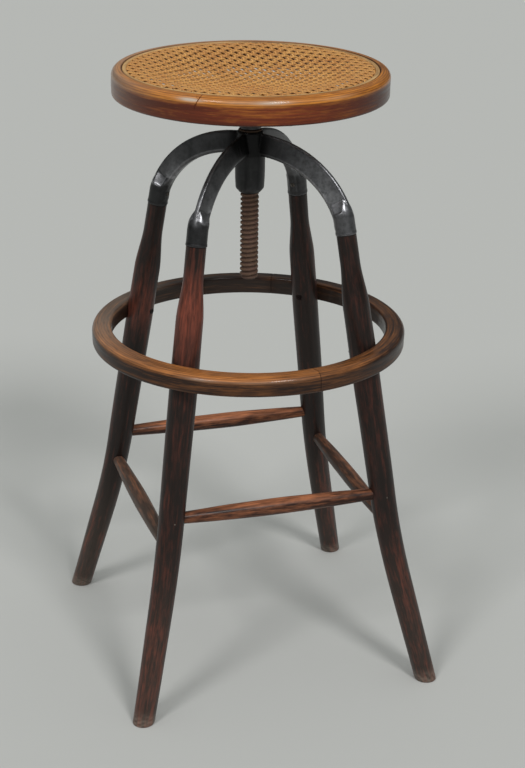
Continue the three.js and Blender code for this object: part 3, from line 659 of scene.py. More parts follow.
def leg_skin(sizes, seed, turn, worn_parts):
    """A leg as rings square to its middle line, of the turned radius with a slight unevenness, level where
    the foot stands on the floor, and with its tenon at the top. Its worn parts are how worn its reddest part
    is, the height and reach of that, and how worn its lower end is."""
    foot_round, tenon_length, unevenness = 0.0014, 0.014, 0.0003
    shaft_rows, columns = 260, 72
    a = np.radians(np.linspace(0, 90, 6))
    top = sizes.socket_height - piece_gap
    tenon_top = sizes.socket_height + tenon_length
    height = np.concatenate([
        foot_round * (1 - np.cos(a)), np.linspace(foot_round, top, shaft_rows)[1:], [top, tenon_top]])
    radius = leg_radius(height, sizes)
    radius[:6] -= foot_round * (1 - np.sin(a))
    radius[-2:] = sizes.tenon_diameter / 2
    middle, along, outwards = leg_frames(height, sizes)
    level = 1 - smooth_step(height / 0.04)  # from level at the floor to square across the leg 40 mm up
    tilt = -outwards[:, 2] / along[:, 2]
    reach = outwards + along * (level * tilt)[:, None]
    turn_angle = np.linspace(0, 2 * math.pi, columns, endpoint=False)
    up = (height / sizes.socket_height)[:, None]
    uneven = ripple(2 * math.pi * up, turn_angle[None, :], seed) * unevenness
    uneven = uneven * smooth_step(up * 20) * smooth_step((1 - up) * 20)
    r = radius[:, None] + uneven
    across, sideways = r * np.cos(turn_angle), r * np.sin(turn_angle)
    rings = middle[:, None, :] + across[..., None] * reach[:, None, :]
    rings[..., 1] += sideways
    grain = np.stack([across, sideways, np.broadcast_to(height[:, None] * grain_stretch, across.shape)], -1)
    # Wear: one red part, and the lower end up to 0.25 m. From 0.14 m up, old polish has gone black, but less
    # on the red part
    red_part, red_height, red_reach, low_part = worn_parts
    at_red = bump_at(height, red_height, red_reach)
    rubbed = low_part * (1 - smooth_step((height - 0.05) / 0.20))
    rubbed = rubbed + red_part * at_red
    wear = np.broadcast_to(rubbed[:, None], across.shape) + 0.06 * np.cos(turn_angle)[None, :]
    black = 0.70 * smooth_step((height - 0.14) / 0.12) * (1 - np.minimum(2.2 * red_part, 0.95) * at_red)
    stain = np.broadcast_to(black[:, None], across.shape)
    # Pale scuffs on the lower end, and marks of the floor round the foot
    scuffed = 0.02 + 0.4 * low_part * (1 - smooth_step((height - 0.03) / 0.2))
    at_foot = (1 - smooth_step((height - 0.002) / 0.020))[:, None]
    foot_marks = at_foot * (0.13 + 0.16 * ripple(3 * turn_angle[None, :], 400 * height[:, None], seed + 20))
    pale = scuffed[:, None] + foot_marks
    return skin(turn_z(rings, turn), grain=grain, depth=np.full(across.shape, seed * 0.37), wear=wear,
                stain=stain, pale=np.clip(pale, 0, 1))


def hoop_profile(inner, outer, low, high, top_round, edge_round, steps=7):
    """Closed profile of a hoop: a rectangle with a large round at its upper outer edge and small ones
    elsewhere."""
    e, t = edge_round, top_round
    return np.concatenate([
        arc((inner + e, low + e), e, 180, 270, steps),
        run((inner + e, low), (outer - e, low), 4),
        arc((outer - e, low + e), e, 270, 360, steps),
        run((outer, low + e), (outer, high - t), 3),
        arc((outer - t, high - t), t, 0, 90, steps + 4),
        run((outer - t, high), (inner + e, high), 4),
        arc((inner + e, high - e), e, 90, 180, steps),
        run((inner, high - e), (inner, low + e), 5)])


def slotted_head(radius, dome, back, slot_width, slot_depth):
    """Screw head drawn with its face towards -Z: a low dome with a straight slot, over a cone. Its rings run
    across the slot, so the slot's walls are straight: x = R u, y = R v sqrt(1 - u^2)."""
    edge, rim, cone, least_wall = slot_width / 2 / radius, 0.995, 0.55, 0.0002
    side = np.linspace(edge + 0.03, rim, 8)
    u = np.concatenate([-side[::-1], [-edge], [edge], side])
    depth = np.where(np.abs(u) <= edge + 1e-6, slot_depth, 0.0)[:, None]
    v = np.linspace(-1, 1, 13)
    x = np.broadcast_to(radius * u[:, None], (len(u), len(v)))
    y = radius * np.sqrt(1 - u[:, None] ** 2) * v[None, :]
    rho = np.hypot(x, y) / radius
    front = np.stack([x, y, -dome * (1 - rho ** 2) + depth], -1)
    rear = np.stack([x, y, np.maximum(back * (1 - cone * rho), slot_depth + least_wall)], -1)
    return np.concatenate([front, rear[:, ::-1]], 1)


def screw_skins(origin, direction, roll, head_radius, dome, back, shank_radius, length_in):
    """A slotted screw with its head's face at an origin and its shank along a direction. Dome is how far its
    head stands out and back how far it goes in."""
    slot_width, slot_depth = head_radius * 0.26, 0.0009
    point_radius, point_start = shank_radius * 0.15, length_in * 0.86
    head = slotted_head(head_radius, dome, back, slot_width, slot_depth)
    radii = np.array([shank_radius, shank_radius, point_radius])
    shank = stacked(radii, np.array([back * 0.6, point_start, length_in]), 14)
    return [skin(aim(part, origin, direction, roll)) for part in (head, shank)]


def single(name, skins, *how, **more):
    """Mesh and object of one piece in one go."""
    return place(skins_mesh(name, skins), name, *how, **more)


class StoolStep(bpy.types.Operator):
    """Shared by the steps that build the stool."""

    bl_options = {"REGISTER"}

    @property
    def sizes(self):
        """The sizes that the scene holds."""
        return bpy.context.scene.stool_sizes

    @property
    def colours(self):
        """The colours that the scene holds."""
        return bpy.context.scene.stool_colours


class STOOL_OT_seat_ring(StoolStep):
    """Bent seat ring with its rounded rim, groove, rebate, scarf joint and worn edge"""

    bl_idname = "stool.seat_ring"
    bl_label = "Seat ring"

    def execute(self, context):
        low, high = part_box("seat_ring")
        reed_low, reed_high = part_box("cane_spline")
        outer, bottom, top = high.x, low.z, high.z
        inner = outer - seat_ring_width
        groove_outer = reed_high.x + 0.0008
        groove_inner = reed_high.x - spline_width - piece_gap
        groove_bottom = reed_low.z - piece_gap
        rebate = top - 0.0029
        joint, joint_reach = math.radians(-128.2), math.radians(5)
        angles = hoop_angles(400, [joint], joint_reach, 90)
        rim_round, lower_round, inner_round, lip_round = 0.009, 0.0035, 0.002, 0.0004
        cut_up, cut_across = 0.005, 0.0115
        profile = np.concatenate([
            [[inner, bottom + cut_up], [inner + 0.0012, bottom + 0.0038], [inner + 0.0105, bottom + 0.0004]],
            run((inner + cut_across, bottom), (outer - lower_round, bottom), 6),
            arc((outer - lower_round, bottom + lower_round), lower_round, -90, 0, 7),
            run((outer, bottom + lower_round), (outer, top - rim_round), 8),
            arc((outer - rim_round, top - rim_round), rim_round, 0, 90, 16),
            run((outer - rim_round, top), (groove_outer + lip_round, top), 3),
            arc((groove_outer + lip_round, top - lip_round), lip_round, 90, 180, 3),
            run((groove_outer, top - lip_round), (groove_outer, groove_bottom), 2),
            [[groove_outer, groove_bottom], [groove_inner, groove_bottom]],
            run((groove_inner, groove_bottom), (groove_inner, rebate), 2),
            [[groove_inner, rebate]],
            run((groove_inner, rebate), (inner + inner_round, rebate), 5),
            arc((inner + inner_round, rebate - inner_round), inner_round, 90, 180, 5),
            run((inner, rebate - inner_round), (inner, bottom + cut_up), 6)])
        rings = revolved(profile, angles)
        radius = np.hypot(rings[..., 0], rings[..., 1])
        a, z = angles[:, None], rings[..., 2]
        out = smooth_step((radius - groove_outer - 0.004) / 0.008)
        # The scarf joint: an open line that leans as it climbs the rim, chipped beside its top, with a fork
        joint_line = joint + (z - (top - 0.008)) * math.radians(170)
        crack = bump_at(a, joint_line, math.radians(0.16)) * smooth_step((z - (top - 0.017)) / 0.004)
        chips = bump_at(a, joint_line + math.radians(0.5), math.radians(0.5))
        chips = chips * bump_at(z, top - 0.0035, 0.0028)
        uneven = ripple(a, np.arctan2(z - bottom - 0.015, radius - 0.165), 5) * 0.0004 - 0.0004
        fork_line = joint_line + math.radians(0.35) - (z - (top - 0.006)) * math.radians(420)
        fork = bump_at(a, fork_line, math.radians(0.13)) * bump_at(z, top - 0.0035, 0.0032)
        crack_depth, chip_depth, fork_depth = 0.0013, 0.0009, 0.0008
        inward = out * (uneven - crack_depth * crack - chip_depth * chips - fork_depth * fork)
        rings[..., 0] += inward * np.cos(a)
        rings[..., 1] += inward * np.sin(a)
        rings[..., 2] -= out * 0.0006 * crack * smooth_step((z - (top - 0.006)) / 0.004)
        grain, depth = ring_grain(rings, angles, middle_radius=0.16)
        up = smooth_step((z - (top - 0.0125)) / 0.0055)
        wear = 0.04 + 0.92 * up * (1 - 0.1 * out) - 0.8 * crack
        wear = wear + 0.25 * bump_at(z, top - 0.0095, 0.0022) * out + 0.10 * ripple(3 * a, 9 * z / top, 8)

        # Knocks and painted highlights along the rim's edge, and painted sheen on top at the left and the
        # back
        near = ways_round(a)
        ridge = bump_at(z, top - 0.0054, 0.0020) * out
        knocks_and_highlights = 1.25 * near(-131, 4.5) + 0.80 * near(-99, 7) + 0.25 * near(-113, 6) + 0.2 * near(-70, 9)
        pale = ridge * (knocks_and_highlights + 0.07 * near(-100, 32))
        pale = pale + (up * 0.46 + (1 - up) * 0.32) * out * near(172, 26) + up * 0.30 * near(150, 45)
        pale = pale + up * 0.22 * near(75, 60)
        pale = pale - 0.9 * crack - 0.7 * fork
        # Darker on the inner wall and the underside, and on the side and top in places, most towards the
        # rim's ends
        shown = smooth_step((radius - inner - 0.0008) / 0.003) * smooth_step((z - bottom - 0.0005) / 0.002)
        side = out * (1 - up)
        side_darkening = 0.10 + 0.45 * near(-175, 26) + 1.05 * near(-26, 34) + 0.25 * near(30, 40)
        stain = 0.85 * (1 - shown) + side * side_darkening
        stain = stain + out * up * (0.42 * near(-22, 22) + 0.50 * near(-178, 22))
        seam = bump_at(radius, groove_outer, 0.0009) * (0.55 + 0.45 * near(-25, 45))
        stain = stain + 0.55 * crack + 0.5 * fork + 1.2 * seam
        finish = wood_finish("seat_wood_finish", self.colours.seat_dark, self.colours.seat_worn, pores=0.5,
                             streaks=0.34, gloss=0.36, coat=0.45, coat_rough=0.10, growth=0.0026,
                             growth_shown=0.8, wander=0.6, speckle=0.30, shine=0.16, fineness=1.25)
        single("seat_ring_oak", [skin(rings, True, grain=grain, depth=depth, wear=wear,
                                      pale=np.clip(pale, 0, 1), stain=np.clip(stain, 0, 1))],
               finish, "seat", ["seat_ring"], "seat_wood")
        return {"FINISHED"}


class STOOL_OT_cane(StoolStep):
    """Six way cane weave: pairs of strands both ways, and single strands on both diagonals"""

    bl_idname = "stool.cane"
    bl_label = "Cane weave"

    def strands(self, name, way, offsets, hands, height_at, samples, draw):
        """Flat strands of cane on parallel lines. Way is their direction in degrees, each one's offset its
        distance from the seat's middle, and its height over the middle of the weave a function of its place
        and its hand, which tells the two strands of a pair apart. Samples is the number of points along a
        strand."""
        sizes = self.sizes
        seat_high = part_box("seat_ring")[1]
        clear = 0.0001
        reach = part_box("cane_spline")[1].x - spline_width - clear
        opening = seat_high.x - seat_ring_width
        # The middle of the weave under the ring's top, how far a line strays, and the outermost line's share
        under_top, stray, outermost = 0.0013, 0.00016, 0.955
        # How wide the flatter edge of the weave is, and the strip that goes down into the groove, and how far
        edge_run, tuck_run, tuck = 0.03, 0.0012, 0.0022
        offsets = np.asarray(offsets)
        keep = np.abs(offsets) < outermost * reach
        offsets, hands = offsets[keep], np.asarray(hands)[keep]
        offsets = offsets + draw.uniform(-1, 1, len(offsets)) * stray
        half = np.sqrt(reach ** 2 - offsets ** 2)
        along = np.linspace(-1, 1, samples)[None, :] * half[:, None]
        a = math.radians(way)
        x = along * math.cos(a) - offsets[:, None] * math.sin(a)
        y = along * math.sin(a) + offsets[:, None] * math.cos(a)
        lift = height_at(x, y, hands[:, None])
        rho = np.hypot(x, y)
        middle = seat_high.z - under_top
        # The weave is flatter near the rim, sinks towards the middle and is tucked into the groove at its end
        lift = lift * (1 - 0.45 * smooth_step((rho - opening + edge_run) / edge_run))
        z = middle + lift - sizes.cane_sag * (1 - np.clip(rho / opening, 0, 1) ** 2) ** 1.25
        z = z - tuck * smooth_step((rho - reach + tuck_run) / tuck_run)
        wide = sizes.strand_width * (1 + 0.07 * draw.uniform(-1, 1, len(offsets)))[:, None]
        # A strand across, as shares of its width and thickness: flat below, crowned above
        section = np.array([
            (-0.5, -0.15), (-0.40, -0.5), (0.40, -0.5), (0.5, -0.15), (0.24, 0.5), (-0.24, 0.5)])
        across = section[:, 0][None, None, :] * wide[..., None]
        rings = np.stack([
            x[..., None] - across * math.sin(a), y[..., None] + across * math.cos(a),
            z[..., None] + section[:, 1][None, None, :] * sizes.strand_thickness], -1)
        shape = rings.shape[:3]
        strand = np.stack([
            np.broadcast_to(across + offsets[:, None, None], shape),
            np.broadcast_to((along * 0.02)[..., None], shape), np.zeros(shape)], -1)
        tones = draw.uniform(0, 1, len(offsets))
        tone = np.broadcast_to(tones[:, None, None], shape)
        # Painted shade where a strand goes under, its darker cut edges, and darker on its underside
        painted_shade_low = np.clip(0.5 - lift / 0.002, 0, 1)[..., None]
        deep = 0.42 * painted_shade_low + 0.50 * np.maximum(np.abs(section[:, 0]) - 0.3, 0)[None, None, :] / 0.2
        deep = np.broadcast_to(deep * (section[:, 1] > -0.4), shape) + 0.9 * (section[:, 1] < -0.4)
        deep = np.clip(deep, 0, 1)
        skins = [skin(turn_z(rings[i], sizes.cane_turn), strand=strand[i], tone=tone[i], deep=deep[i])
                 for i in range(len(offsets))]
        finish = cane_finish("cane_finish", self.colours.cane_light, self.colours.cane_dark)
        single(name, skins, finish, "seat", ["seat_cane"], "cane", crease=60)

    def execute(self, context):
        pitch = self.sizes.cane_pitch
        # Half the spacing of a pair, and how far the pairs and the slanting strands weave up and down
        apart, weave, over = 0.108 * pitch, 0.00055, 0.00125
        count = np.arange(-11, 12)
        pairs = np.concatenate([count * pitch - apart, count * pitch + apart])
        hands = np.concatenate([-np.ones(len(count)), np.ones(len(count))])
        draw = np.random.default_rng(41)

        def crossing(place_along):
            """u exp((1 - u^2) / 2), with u the distance from a pair's middle over half the pair's spacing:
            -1 and 1 on the pair's two strands and 0 between pairs."""
            u = ((place_along / pitch + 0.5) % 1 - 0.5) * pitch / apart
            return u * np.exp(0.5 * (1 - u ** 2))

        def over_under(x):
            """tanh(s cos(2 pi x / pitch)) / tanh(s), with s the squareness: flat on top over a pair, and
            flat below under the next."""
            squareness = 2.2
            return np.tanh(squareness * np.cos(2 * math.pi * x / pitch)) / math.tanh(squareness)

        self.strands("cane_uprights", 90, -pairs, hands,
                     lambda x, y, hand: weave * hand * crossing(y), 300, draw)
        self.strands("cane_crosswise", 0, pairs, hands,
                     lambda x, y, hand: -weave * hand * crossing(x), 300, draw)
        slants = (np.arange(-17, 17) + 0.5) * pitch / math.sqrt(2)
        none = np.zeros(len(slants))
        self.strands("cane_slants_left", 135, slants, none,
                     lambda x, y, hand: over * over_under(x), 230, draw)
        self.strands("cane_slants_right", 45, slants, none,
                     lambda x, y, hand: -over * over_under(x), 230, draw)
        return {"FINISHED"}


class STOOL_OT_cane_spline(StoolStep):
    """Reed that locks the cane in its groove"""

    bl_idname = "stool.cane_spline"
    bl_label = "Cane spline"

    def execute(self, context):
        low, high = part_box("cane_spline")
        outer, bottom, top = high.x, low.z, high.z
        inner = outer - spline_width
        angles = np.linspace(-math.pi, math.pi, 360, endpoint=False)
        crown = spline_width / 2
        flat = 0.0012
        bow = arc((0, 0), 1.0, 0, 180, 15)
        top_points = np.stack([
            inner + crown + bow[:, 0] * crown, top - flat * 1.2 + bow[:, 1] * flat * 1.1], -1)
        profile = np.concatenate([[[inner, bottom], [outer, bottom]], top_points])
        rings = revolved(profile, angles)
        rings[..., 2] += 0.00012 * ripple(angles[:, None] * 4, profile[None, :, 0] * 900, 12)
        grain, depth = ring_grain(rings, angles, middle_radius=0.16)
        wear = np.broadcast_to(0.55 + 0.3 * ripple(angles * 2, angles, 3)[:, None], rings.shape[:2])
        colours = self.colours
        finish = wood_finish("spline_finish", colours.spline_dark, colours.spline_worn,
                             pores=0.4, streaks=0.4, gloss=0.42, coat=0.1, growth_shown=0.3, speckle=0.3)
        single("cane_spline_reed", [skin(rings, True, grain=grain, depth=depth, wear=wear)],
               finish, "seat", ["cane_spline"], "spline_reed")
        return {"FINISHED"}


class STOOL_OT_seat_iron(StoolStep):
    """Seat iron: flared boss with four flat arms, its cross pin and its four wood screws"""

    bl_idname = "stool.seat_iron"
    bl_label = "Seat iron"

    def execute(self, context):
        low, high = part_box("seat_iron")
        bottom, top, reach = low.z, high.z, high.x
        neck, thick, flare = 0.01425, 0.006, 0.015
        low_round, bell_up, bell_power = 0.0015, 0.018, 2.2
        round_low = arc((neck - low_round, bottom + low_round), low_round, -90, 0, 5)
        t = np.linspace(0, 1, 14)
        bell_height = bottom + bell_up + (top - thick - bottom - bell_up) * t
        bell = np.stack([neck + flare * t ** bell_power, bell_height], -1)
        outline = np.concatenate([round_low, bell, [[neck + flare, top]]])
        boss = skin(stacked(outline[:, 0], outline[:, 1], 64))
        root_width, tip_width, least_width = 0.030, 0.022, 0.0006
        tip_round = tip_width / 2
        tip = reach - tip_round
        to_end = reach - tip_round * (1 - np.linspace(0.06, 1, 9)) ** 2
        x = np.unique(np.clip(np.concatenate([np.linspace(0.006, tip, 24), to_end]), 0, reach - 0.0001))
        round_half = np.sqrt(np.maximum(tip_round ** 2 - (x - tip) ** 2, least_width ** 2))
        wide = np.where(x < tip, root_width + (tip_width - root_width) * x / tip, 2 * round_half)
        section = rounded_bar(1.0, 1.0, round_radius=0.16)
        tip_thick, thin_from, thin_run = 0.0026, 0.05, 0.09
        deep = (thick + (tip_thick - thick) * smooth_step((x - thin_from) / thin_run))[:, None]
        bars = []
        for turn in (0, 90, 180, 270):
            across, up = section[None, :, 0] * wide[:, None], top - deep / 2 + section[None, :, 1] * deep
            rings = np.stack(np.broadcast_arrays(x[:, None], across, up), -1)
            bars.append(skin(turn_z(rings, turn)))
        mesh = casting("seat_iron_casting", [boss] + bars, voxel=0.0009, rounds=5, keep=0.55)
        write_attribute(mesh, "wear", np.clip(edge_wear(mesh) * 0.6, 0, 1))
        write_attribute(mesh, "grease", np.full(len(mesh.vertices), 0.5))
        colours = self.colours
        iron = iron_finish("iron_finish", colours.iron_black, colours.iron_worn)
        place(mesh, "seat_iron_casting", iron, "seat", ["seat_iron"], "iron", crease=50)
        rust = screw_finish("screw_finish", colours.screw_rust, colours.screw_dark)
        pin_low, pin_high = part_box("cross_pin")
        pin_radius, pin_round = pin_high.x, 0.0006
        length_of_pin = pin_high.y - pin_low.y
        ends = np.array([0, 0.3, 0.7, 1.0])
        rounded_end = pin_radius - pin_round * (1 - ends) ** 2
        radii = np.concatenate([rounded_end, rounded_end[::-1]])
        heights = np.concatenate([pin_round * ends, (length_of_pin - pin_round * ends)[::-1]])
        pin_rings = stacked(radii, heights, 28)
        origin = (0, pin_low.y, (pin_low.z + pin_high.z) / 2)
        pin_skin = skin(aim(pin_rings, origin, (0, 1, 0)), wear=np.full(pin_rings.shape[:2], 0.35))
        single("cross_pin_steel", [pin_skin], rust, "seat", ["cross_pin"], "screw_steel")
        steel = steel_finish("fastener_finish", colours.steel_aged)
        for number in range(1, 5):
            name = f"seat_screw_{number}"
            box_low, box_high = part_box(name)
            middle = (box_low + box_high) / 2
            head = (box_high.x - box_low.x) / 2
            face = top - tip_thick
            skins = screw_skins((middle.x, middle.y, face), (0, 0, 1), roll=37 * number, head_radius=head,
                                dome=0.0006, back=0.0012, shank_radius=0.00225, length_in=box_high.z - face)
            single(name + "_slotted", skins, steel, "seat", [name], "fastener_steel")
        return {"FINISHED"}


class STOOL_OT_height_screw(StoolStep):
    """Coarse height screw: a rounded right hand thread up to the shoulder, and the neck in the boss"""

    bl_idname = "stool.height_screw"
    bl_label = "Height screw"

    def execute(self, context):
        sizes = self.sizes
        low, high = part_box("height_screw")
        major, bottom, top = high.x, low.z, high.z
        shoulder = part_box("seat_iron")[0].z - piece_gap
        columns, row_height = 72, 0.00042
        rows = np.arange(bottom + 0.0004, shoulder - 0.0002, row_height)
        height = np.concatenate([[bottom], rows, [shoulder]])
        a = np.linspace(0, 2 * math.pi, columns, endpoint=False)[None, :]
        z = height[:, None]
        phase = (z / sizes.thread_lead - a / (2 * math.pi)) % 1
        # The thread: phase runs from 0 to 1 over a turn, and the crest is 1 around its middle
        crest = smooth_step((0.5 - np.abs(phase - 0.5)) / 0.5 * 1.75 - 0.28)
        near_end = smooth_step((z - bottom) / 0.005)
        depth = sizes.thread_depth * (1 - crest * near_end)
        chamfer_depth, chamfer_height = 0.0016, 0.0022
        chamfer = chamfer_depth * (1 - smooth_step((z - bottom) / chamfer_height))
        worn = 0.00012 * ripple(a * 2, z * 300, 21)
        r = np.minimum(major - depth - chamfer + worn, major)
        run_out = smooth_step((shoulder - z) / 0.003)
        plain = major - 0.0004  # the plain shank that the thread runs out to under the boss
        r = plain - (plain - r) * run_out
        rings = np.stack(np.broadcast_arrays(r * np.cos(a), r * np.sin(a), z), -1)
        neck, neck_overlap = 0.00975, 0.001
        neck_rings = stacked([neck, neck], [shoulder - neck_overlap, top], columns)
        finish = screw_finish("screw_finish", self.colours.screw_rust, self.colours.screw_dark)
        crest_shown = np.broadcast_to(crest * near_end, rings.shape[:2])
        single("height_screw_thread",
               [skin(rings, wear=crest_shown), skin(neck_rings, wear=np.full(neck_rings.shape[:2], 0.4))],
               finish, "seat", ["height_screw"], "screw_steel", crease=50)
        return {"FINISHED"}


class STOOL_OT_wear_washer(StoolStep):
    """Leather washer between the hub and the seat boss"""

    bl_idname = "stool.wear_washer"
    bl_label = "Wear washer"

    def execute(self, context):
        low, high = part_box("wear_washer")
        washer_width = 0.003
        outer, inner = high.x, high.x - washer_width
        bulge = (high.z - low.z) / 2
        middle = (high.z + low.z) / 2
        profile = np.concatenate([
            arc((outer - bulge, middle), bulge, -90, 90, 9), [[inner, high.z], [inner, low.z]]])
        angles = np.linspace(-math.pi, math.pi, 96, endpoint=False)
        rings = revolved(profile, angles)
        uneven = 1 + ripple(angles[:, None] * 2, profile[None, :, 1] * 900, 4)
        rings[..., :2] *= 1 - 0.004 * uneven[..., None]
        finish = leather_finish("washer_finish", self.colours.leather_dark)
        single("wear_washer_leather", [skin(rings, True)], finish, "washer", ["wear_washer"],
               "washer_leather")
        return {"FINISHED"}


class STOOL_OT_arm_spider(StoolStep):
    """Cast arm spider: a hub bored for the screw, four curved arms and four leg sockets in one casting"""

    bl_idname = "stool.arm_spider"
    bl_label = "Arm spider"

    def middle_line(self, distance):
        """Middle line of socket and arm at distances from the socket's lower end: straight with the leg, then
        one cubic curve that ends level at the hub. Gives the places, the directions outwards across the line
        there, and the line's length."""
        sizes = self.sizes
        base, along, _ = (v[0] for v in leg_frames(np.array([sizes.socket_height]), sizes))
        hub_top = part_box("arm_spider")[1].z
        bend = base + along * sizes.socket_straight
        arm_end = 0.0063
        hub = np.array([arm_end, 0, hub_top - hub_rim - sizes.arm_depth_hub / 2])
        leaving = bend + along * arm_drop_share * (hub[2] - bend[2])
        level = np.array([hub[0] + arm_root_share * (bend[0] - hub[0]), 0, hub[2]])
        t = np.linspace(0, 1, 400)[:, None]
        curve = (1 - t) ** 3 * bend + 3 * (1 - t) ** 2 * t * leaving
        curve = curve + 3 * (1 - t) * t ** 2 * level + t ** 3 * hub
        line = np.concatenate([base + along * np.linspace(0, sizes.socket_straight, 40)[:-1, None], curve])
        gone = np.concatenate([[0], np.cumsum(np.linalg.norm(np.diff(line, axis=0), axis=1))])
        way = np.gradient(line, gone, axis=0)
        way /= np.linalg.norm(way, axis=1)[:, None]
        place_at = np.stack([np.interp(distance, gone, line[:, i]) for i in range(3)], -1)
        way_at = np.stack([np.interp(distance, gone, way[:, i]) for i in range(3)], -1)
        out = np.stack([way_at[:, 2], np.zeros(len(way_at)), -way_at[:, 0]], -1)
        return place_at, out, gone[-1]

    def half_thickness(self, depth):
        """Half of an arm's thickness at a share of half its depth: it grows evenly from the outer edge, at 1,
        to the root, and is a little thinner again at the inner edge, at -1."""
        sizes = self.sizes
        inner_cut = 0.0026
        halves = [sizes.arm_root / 2 - inner_cut, sizes.arm_root / 2, sizes.arm_edge / 2]
        return np.interp(depth, [-1.0, arm_thickest, 1.0], halves)

    def arm(self):
        """Bar along the middle line. Its section is a wedge with cut inner corners, whose depth grows evenly
        to the hub."""
        sizes = self.sizes
        total = self.middle_line(np.zeros(1))[2]
        distance = np.linspace(0.008, total, 90)
        place_at, out, _ = self.middle_line(distance)
        share_of = np.clip((distance - sizes.socket_straight) / (total - sizes.socket_straight), 0, 1)
        deep = sizes.arm_depth_socket + (sizes.arm_depth_hub - sizes.arm_depth_socket) * share_of
        down = np.concatenate([np.linspace(1, arm_thickest, 12), np.linspace(-0.86, -1, 3)])
        side = self.half_thickness(down)
        side[0] -= 0.0007
        section = np.concatenate([np.stack([side, down], -1), np.stack([-side, down], -1)[::-1]])
        depth = section[None, :, 1] * deep[:, None] / 2
        rings = place_at[:, None, :] + depth[..., None] * out[:, None, :]
        rings[..., 1] += section[None, :, 0]
        return rings

    def socket(self):
        """Round socket on the middle line. Towards its upper end two slanting flats cut it down to the arm's
        thickness, and each starts at a ledge in a crescent: the circle's points with their sideways part held
        to the flat."""
        sizes = self.sizes
        radius, lip = sizes.socket_diameter / 2, 0.0005
        at_lip = [0, 0.0004, 0.0012, 0.0028, 0.0036, 0.0044]
        s = np.concatenate([at_lip, np.linspace(0.006, sizes.socket_length, 40)])
        swell = lip * (smooth_step((s + 0.0002) / 0.0008) - smooth_step((s - 0.0028) / 0.0014))
        cut = np.clip((s - sizes.socket_round) / (sizes.socket_length - sizes.socket_round), 0, 1)
        r = (radius + swell - 0.0006 * (1 - smooth_step(s / 0.0006)) - 0.002 * cut)[:, None]
        a = np.linspace(0, 2 * math.pi, 64, endpoint=False)[None, :]
        inside_arm = 0.0003
        flat = self.half_thickness(np.cos(a)) - inside_arm
        slant = radius - socket_ledge + (flat - radius + socket_ledge) * cut[:, None]
        held = np.where(cut[:, None] > 0, slant, radius + lip)
        sideways = np.clip(r * np.sin(a), -held, held)
        place_at, out, _ = self.middle_line(s)
        rings = place_at[:, None, :] + (r * np.cos(a))[..., None] * out[:, None, :]
        rings[..., 1] += sideways
        return rings

    def painted_flat_highlights(self, points):
        """Painted highlights on the flats of the sockets, as bare iron: most on their crescents, and less
        over them. A crescent lies as far up the socket as the slant takes to come in to the circle's half
        width at that depth."""
        sizes = self.sizes
        base, along, outwards = (v[0] for v in leg_frames(np.array([sizes.socket_height]), sizes))
        x, y, z = points.T
        corner = np.radians(np.floor(np.degrees(np.arctan2(y, x)) / 90) * 90 + 45)
        turned = np.stack([
            x * np.cos(corner) + y * np.sin(corner), y * np.cos(corner) - x * np.sin(corner), z], -1)
        up, across = (turned - base) @ along, (turned - base) @ outwards
        radius = sizes.socket_diameter / 2
        flat = self.half_thickness(across / radius)
        wide = np.sqrt(np.maximum(radius ** 2 - across ** 2, 0))
        cut = np.clip((radius - socket_ledge - wide) / (radius - socket_ledge - flat), 0, 1)
        past = up - sizes.socket_round - cut * (sizes.socket_length - sizes.socket_round)
        beside = smooth_step((np.abs(turned[:, 1]) - 0.6 * flat) / (0.3 * flat))
        over = smooth_step(past / 0.002) * (1 - smooth_step((past - 0.006) / 0.03))
        return beside * (bump_at(past, 0.0003, 0.0016) + 0.34 * over)

    def hub(self):
        """Hub: its outer profile, and the bore as its inner one, turned about the axis of the screw."""
        bore, over_screw_end = 0.0128, 0.1185
        low_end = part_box("height_screw")[0].z + over_screw_end
        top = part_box("arm_spider")[1].z
        arm_low = top - hub_rim - self.sizes.arm_depth_hub
        outline = [
            (bore, low_end), (bore + 0.0006, low_end), (bore + 0.0058, low_end + 0.0062),
            (bore + 0.0066, low_end + 0.02), (bore + 0.0068, low_end + 0.0335), (bore + 0.0068, arm_low),
            (bore + 0.0046, top - hub_rim), (bore + 0.0046, top - 0.0012), (bore + 0.0034, top), (bore, top)]
        outline = np.array(outline)
        bore_line = run((bore, top), (bore, low_end), 20)
        filled = [outline[:1]]
        for a, b in zip(outline[:-1], outline[1:]):
            filled += [run(a, b, 5), [b]]
        profile = np.concatenate(filled + [bore_line])
        return revolved(profile, np.linspace(-math.pi, math.pi, 128, endpoint=False))

    def execute(self, context):
        parts = [skin(self.hub(), True)]
        arm, socket = self.arm(), self.socket()
        for turn in corners.values():
            parts += [skin(turn_z(arm, turn)), skin(turn_z(socket, turn))]
        mesh = casting("arm_spider_casting", parts, voxel=0.00085, rounds=5, keep=0.5)
        points, normals = mesh_points(mesh), mesh_points(mesh, "normal")
        # The oil hole in the hub: its way round, its place under the hub's top, its radius and its depth
        oil_angle, oil_drop, oil_radius, oil_depth = math.radians(-97), 0.043, 0.0024, 0.0045
        oil_way = np.array([math.cos(oil_angle), math.sin(oil_angle), 0])
        from_hole = points - np.array([0, 0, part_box("arm_spider")[1].z - oil_drop])
        off_axis = np.linalg.norm(from_hole - np.outer(from_hole @ oil_way, oil_way), axis=1)
        outer_side = (from_hole @ oil_way > 0.0165) & (normals @ oil_way > 0.3)
        sink = oil_depth * smooth_step((oil_radius - off_axis) / 0.0007) * outer_side
        moved = points - sink[:, None] * oil_way
        mesh.vertices.foreach_set("co", moved.ravel())
        mesh.update()
        # Bare iron on edges and where hands take hold, most at the front right, and painted highlights on the
        # sockets' flats
        radius = np.hypot(points[:, 0], points[:, 1])
        around = np.degrees(np.arctan2(points[:, 1], points[:, 0]))
        at_front_right = np.clip(np.cos(np.radians(around + 45)), 0, 1)
        handled = smooth_step((radius - 0.035) / 0.06) * (0.10 + 0.52 * at_front_right)
        bare = edge_wear(mesh) * 0.9 + handled + self.painted_flat_highlights(points)
        write_attribute(mesh, "wear", np.clip(bare, 0, 1))
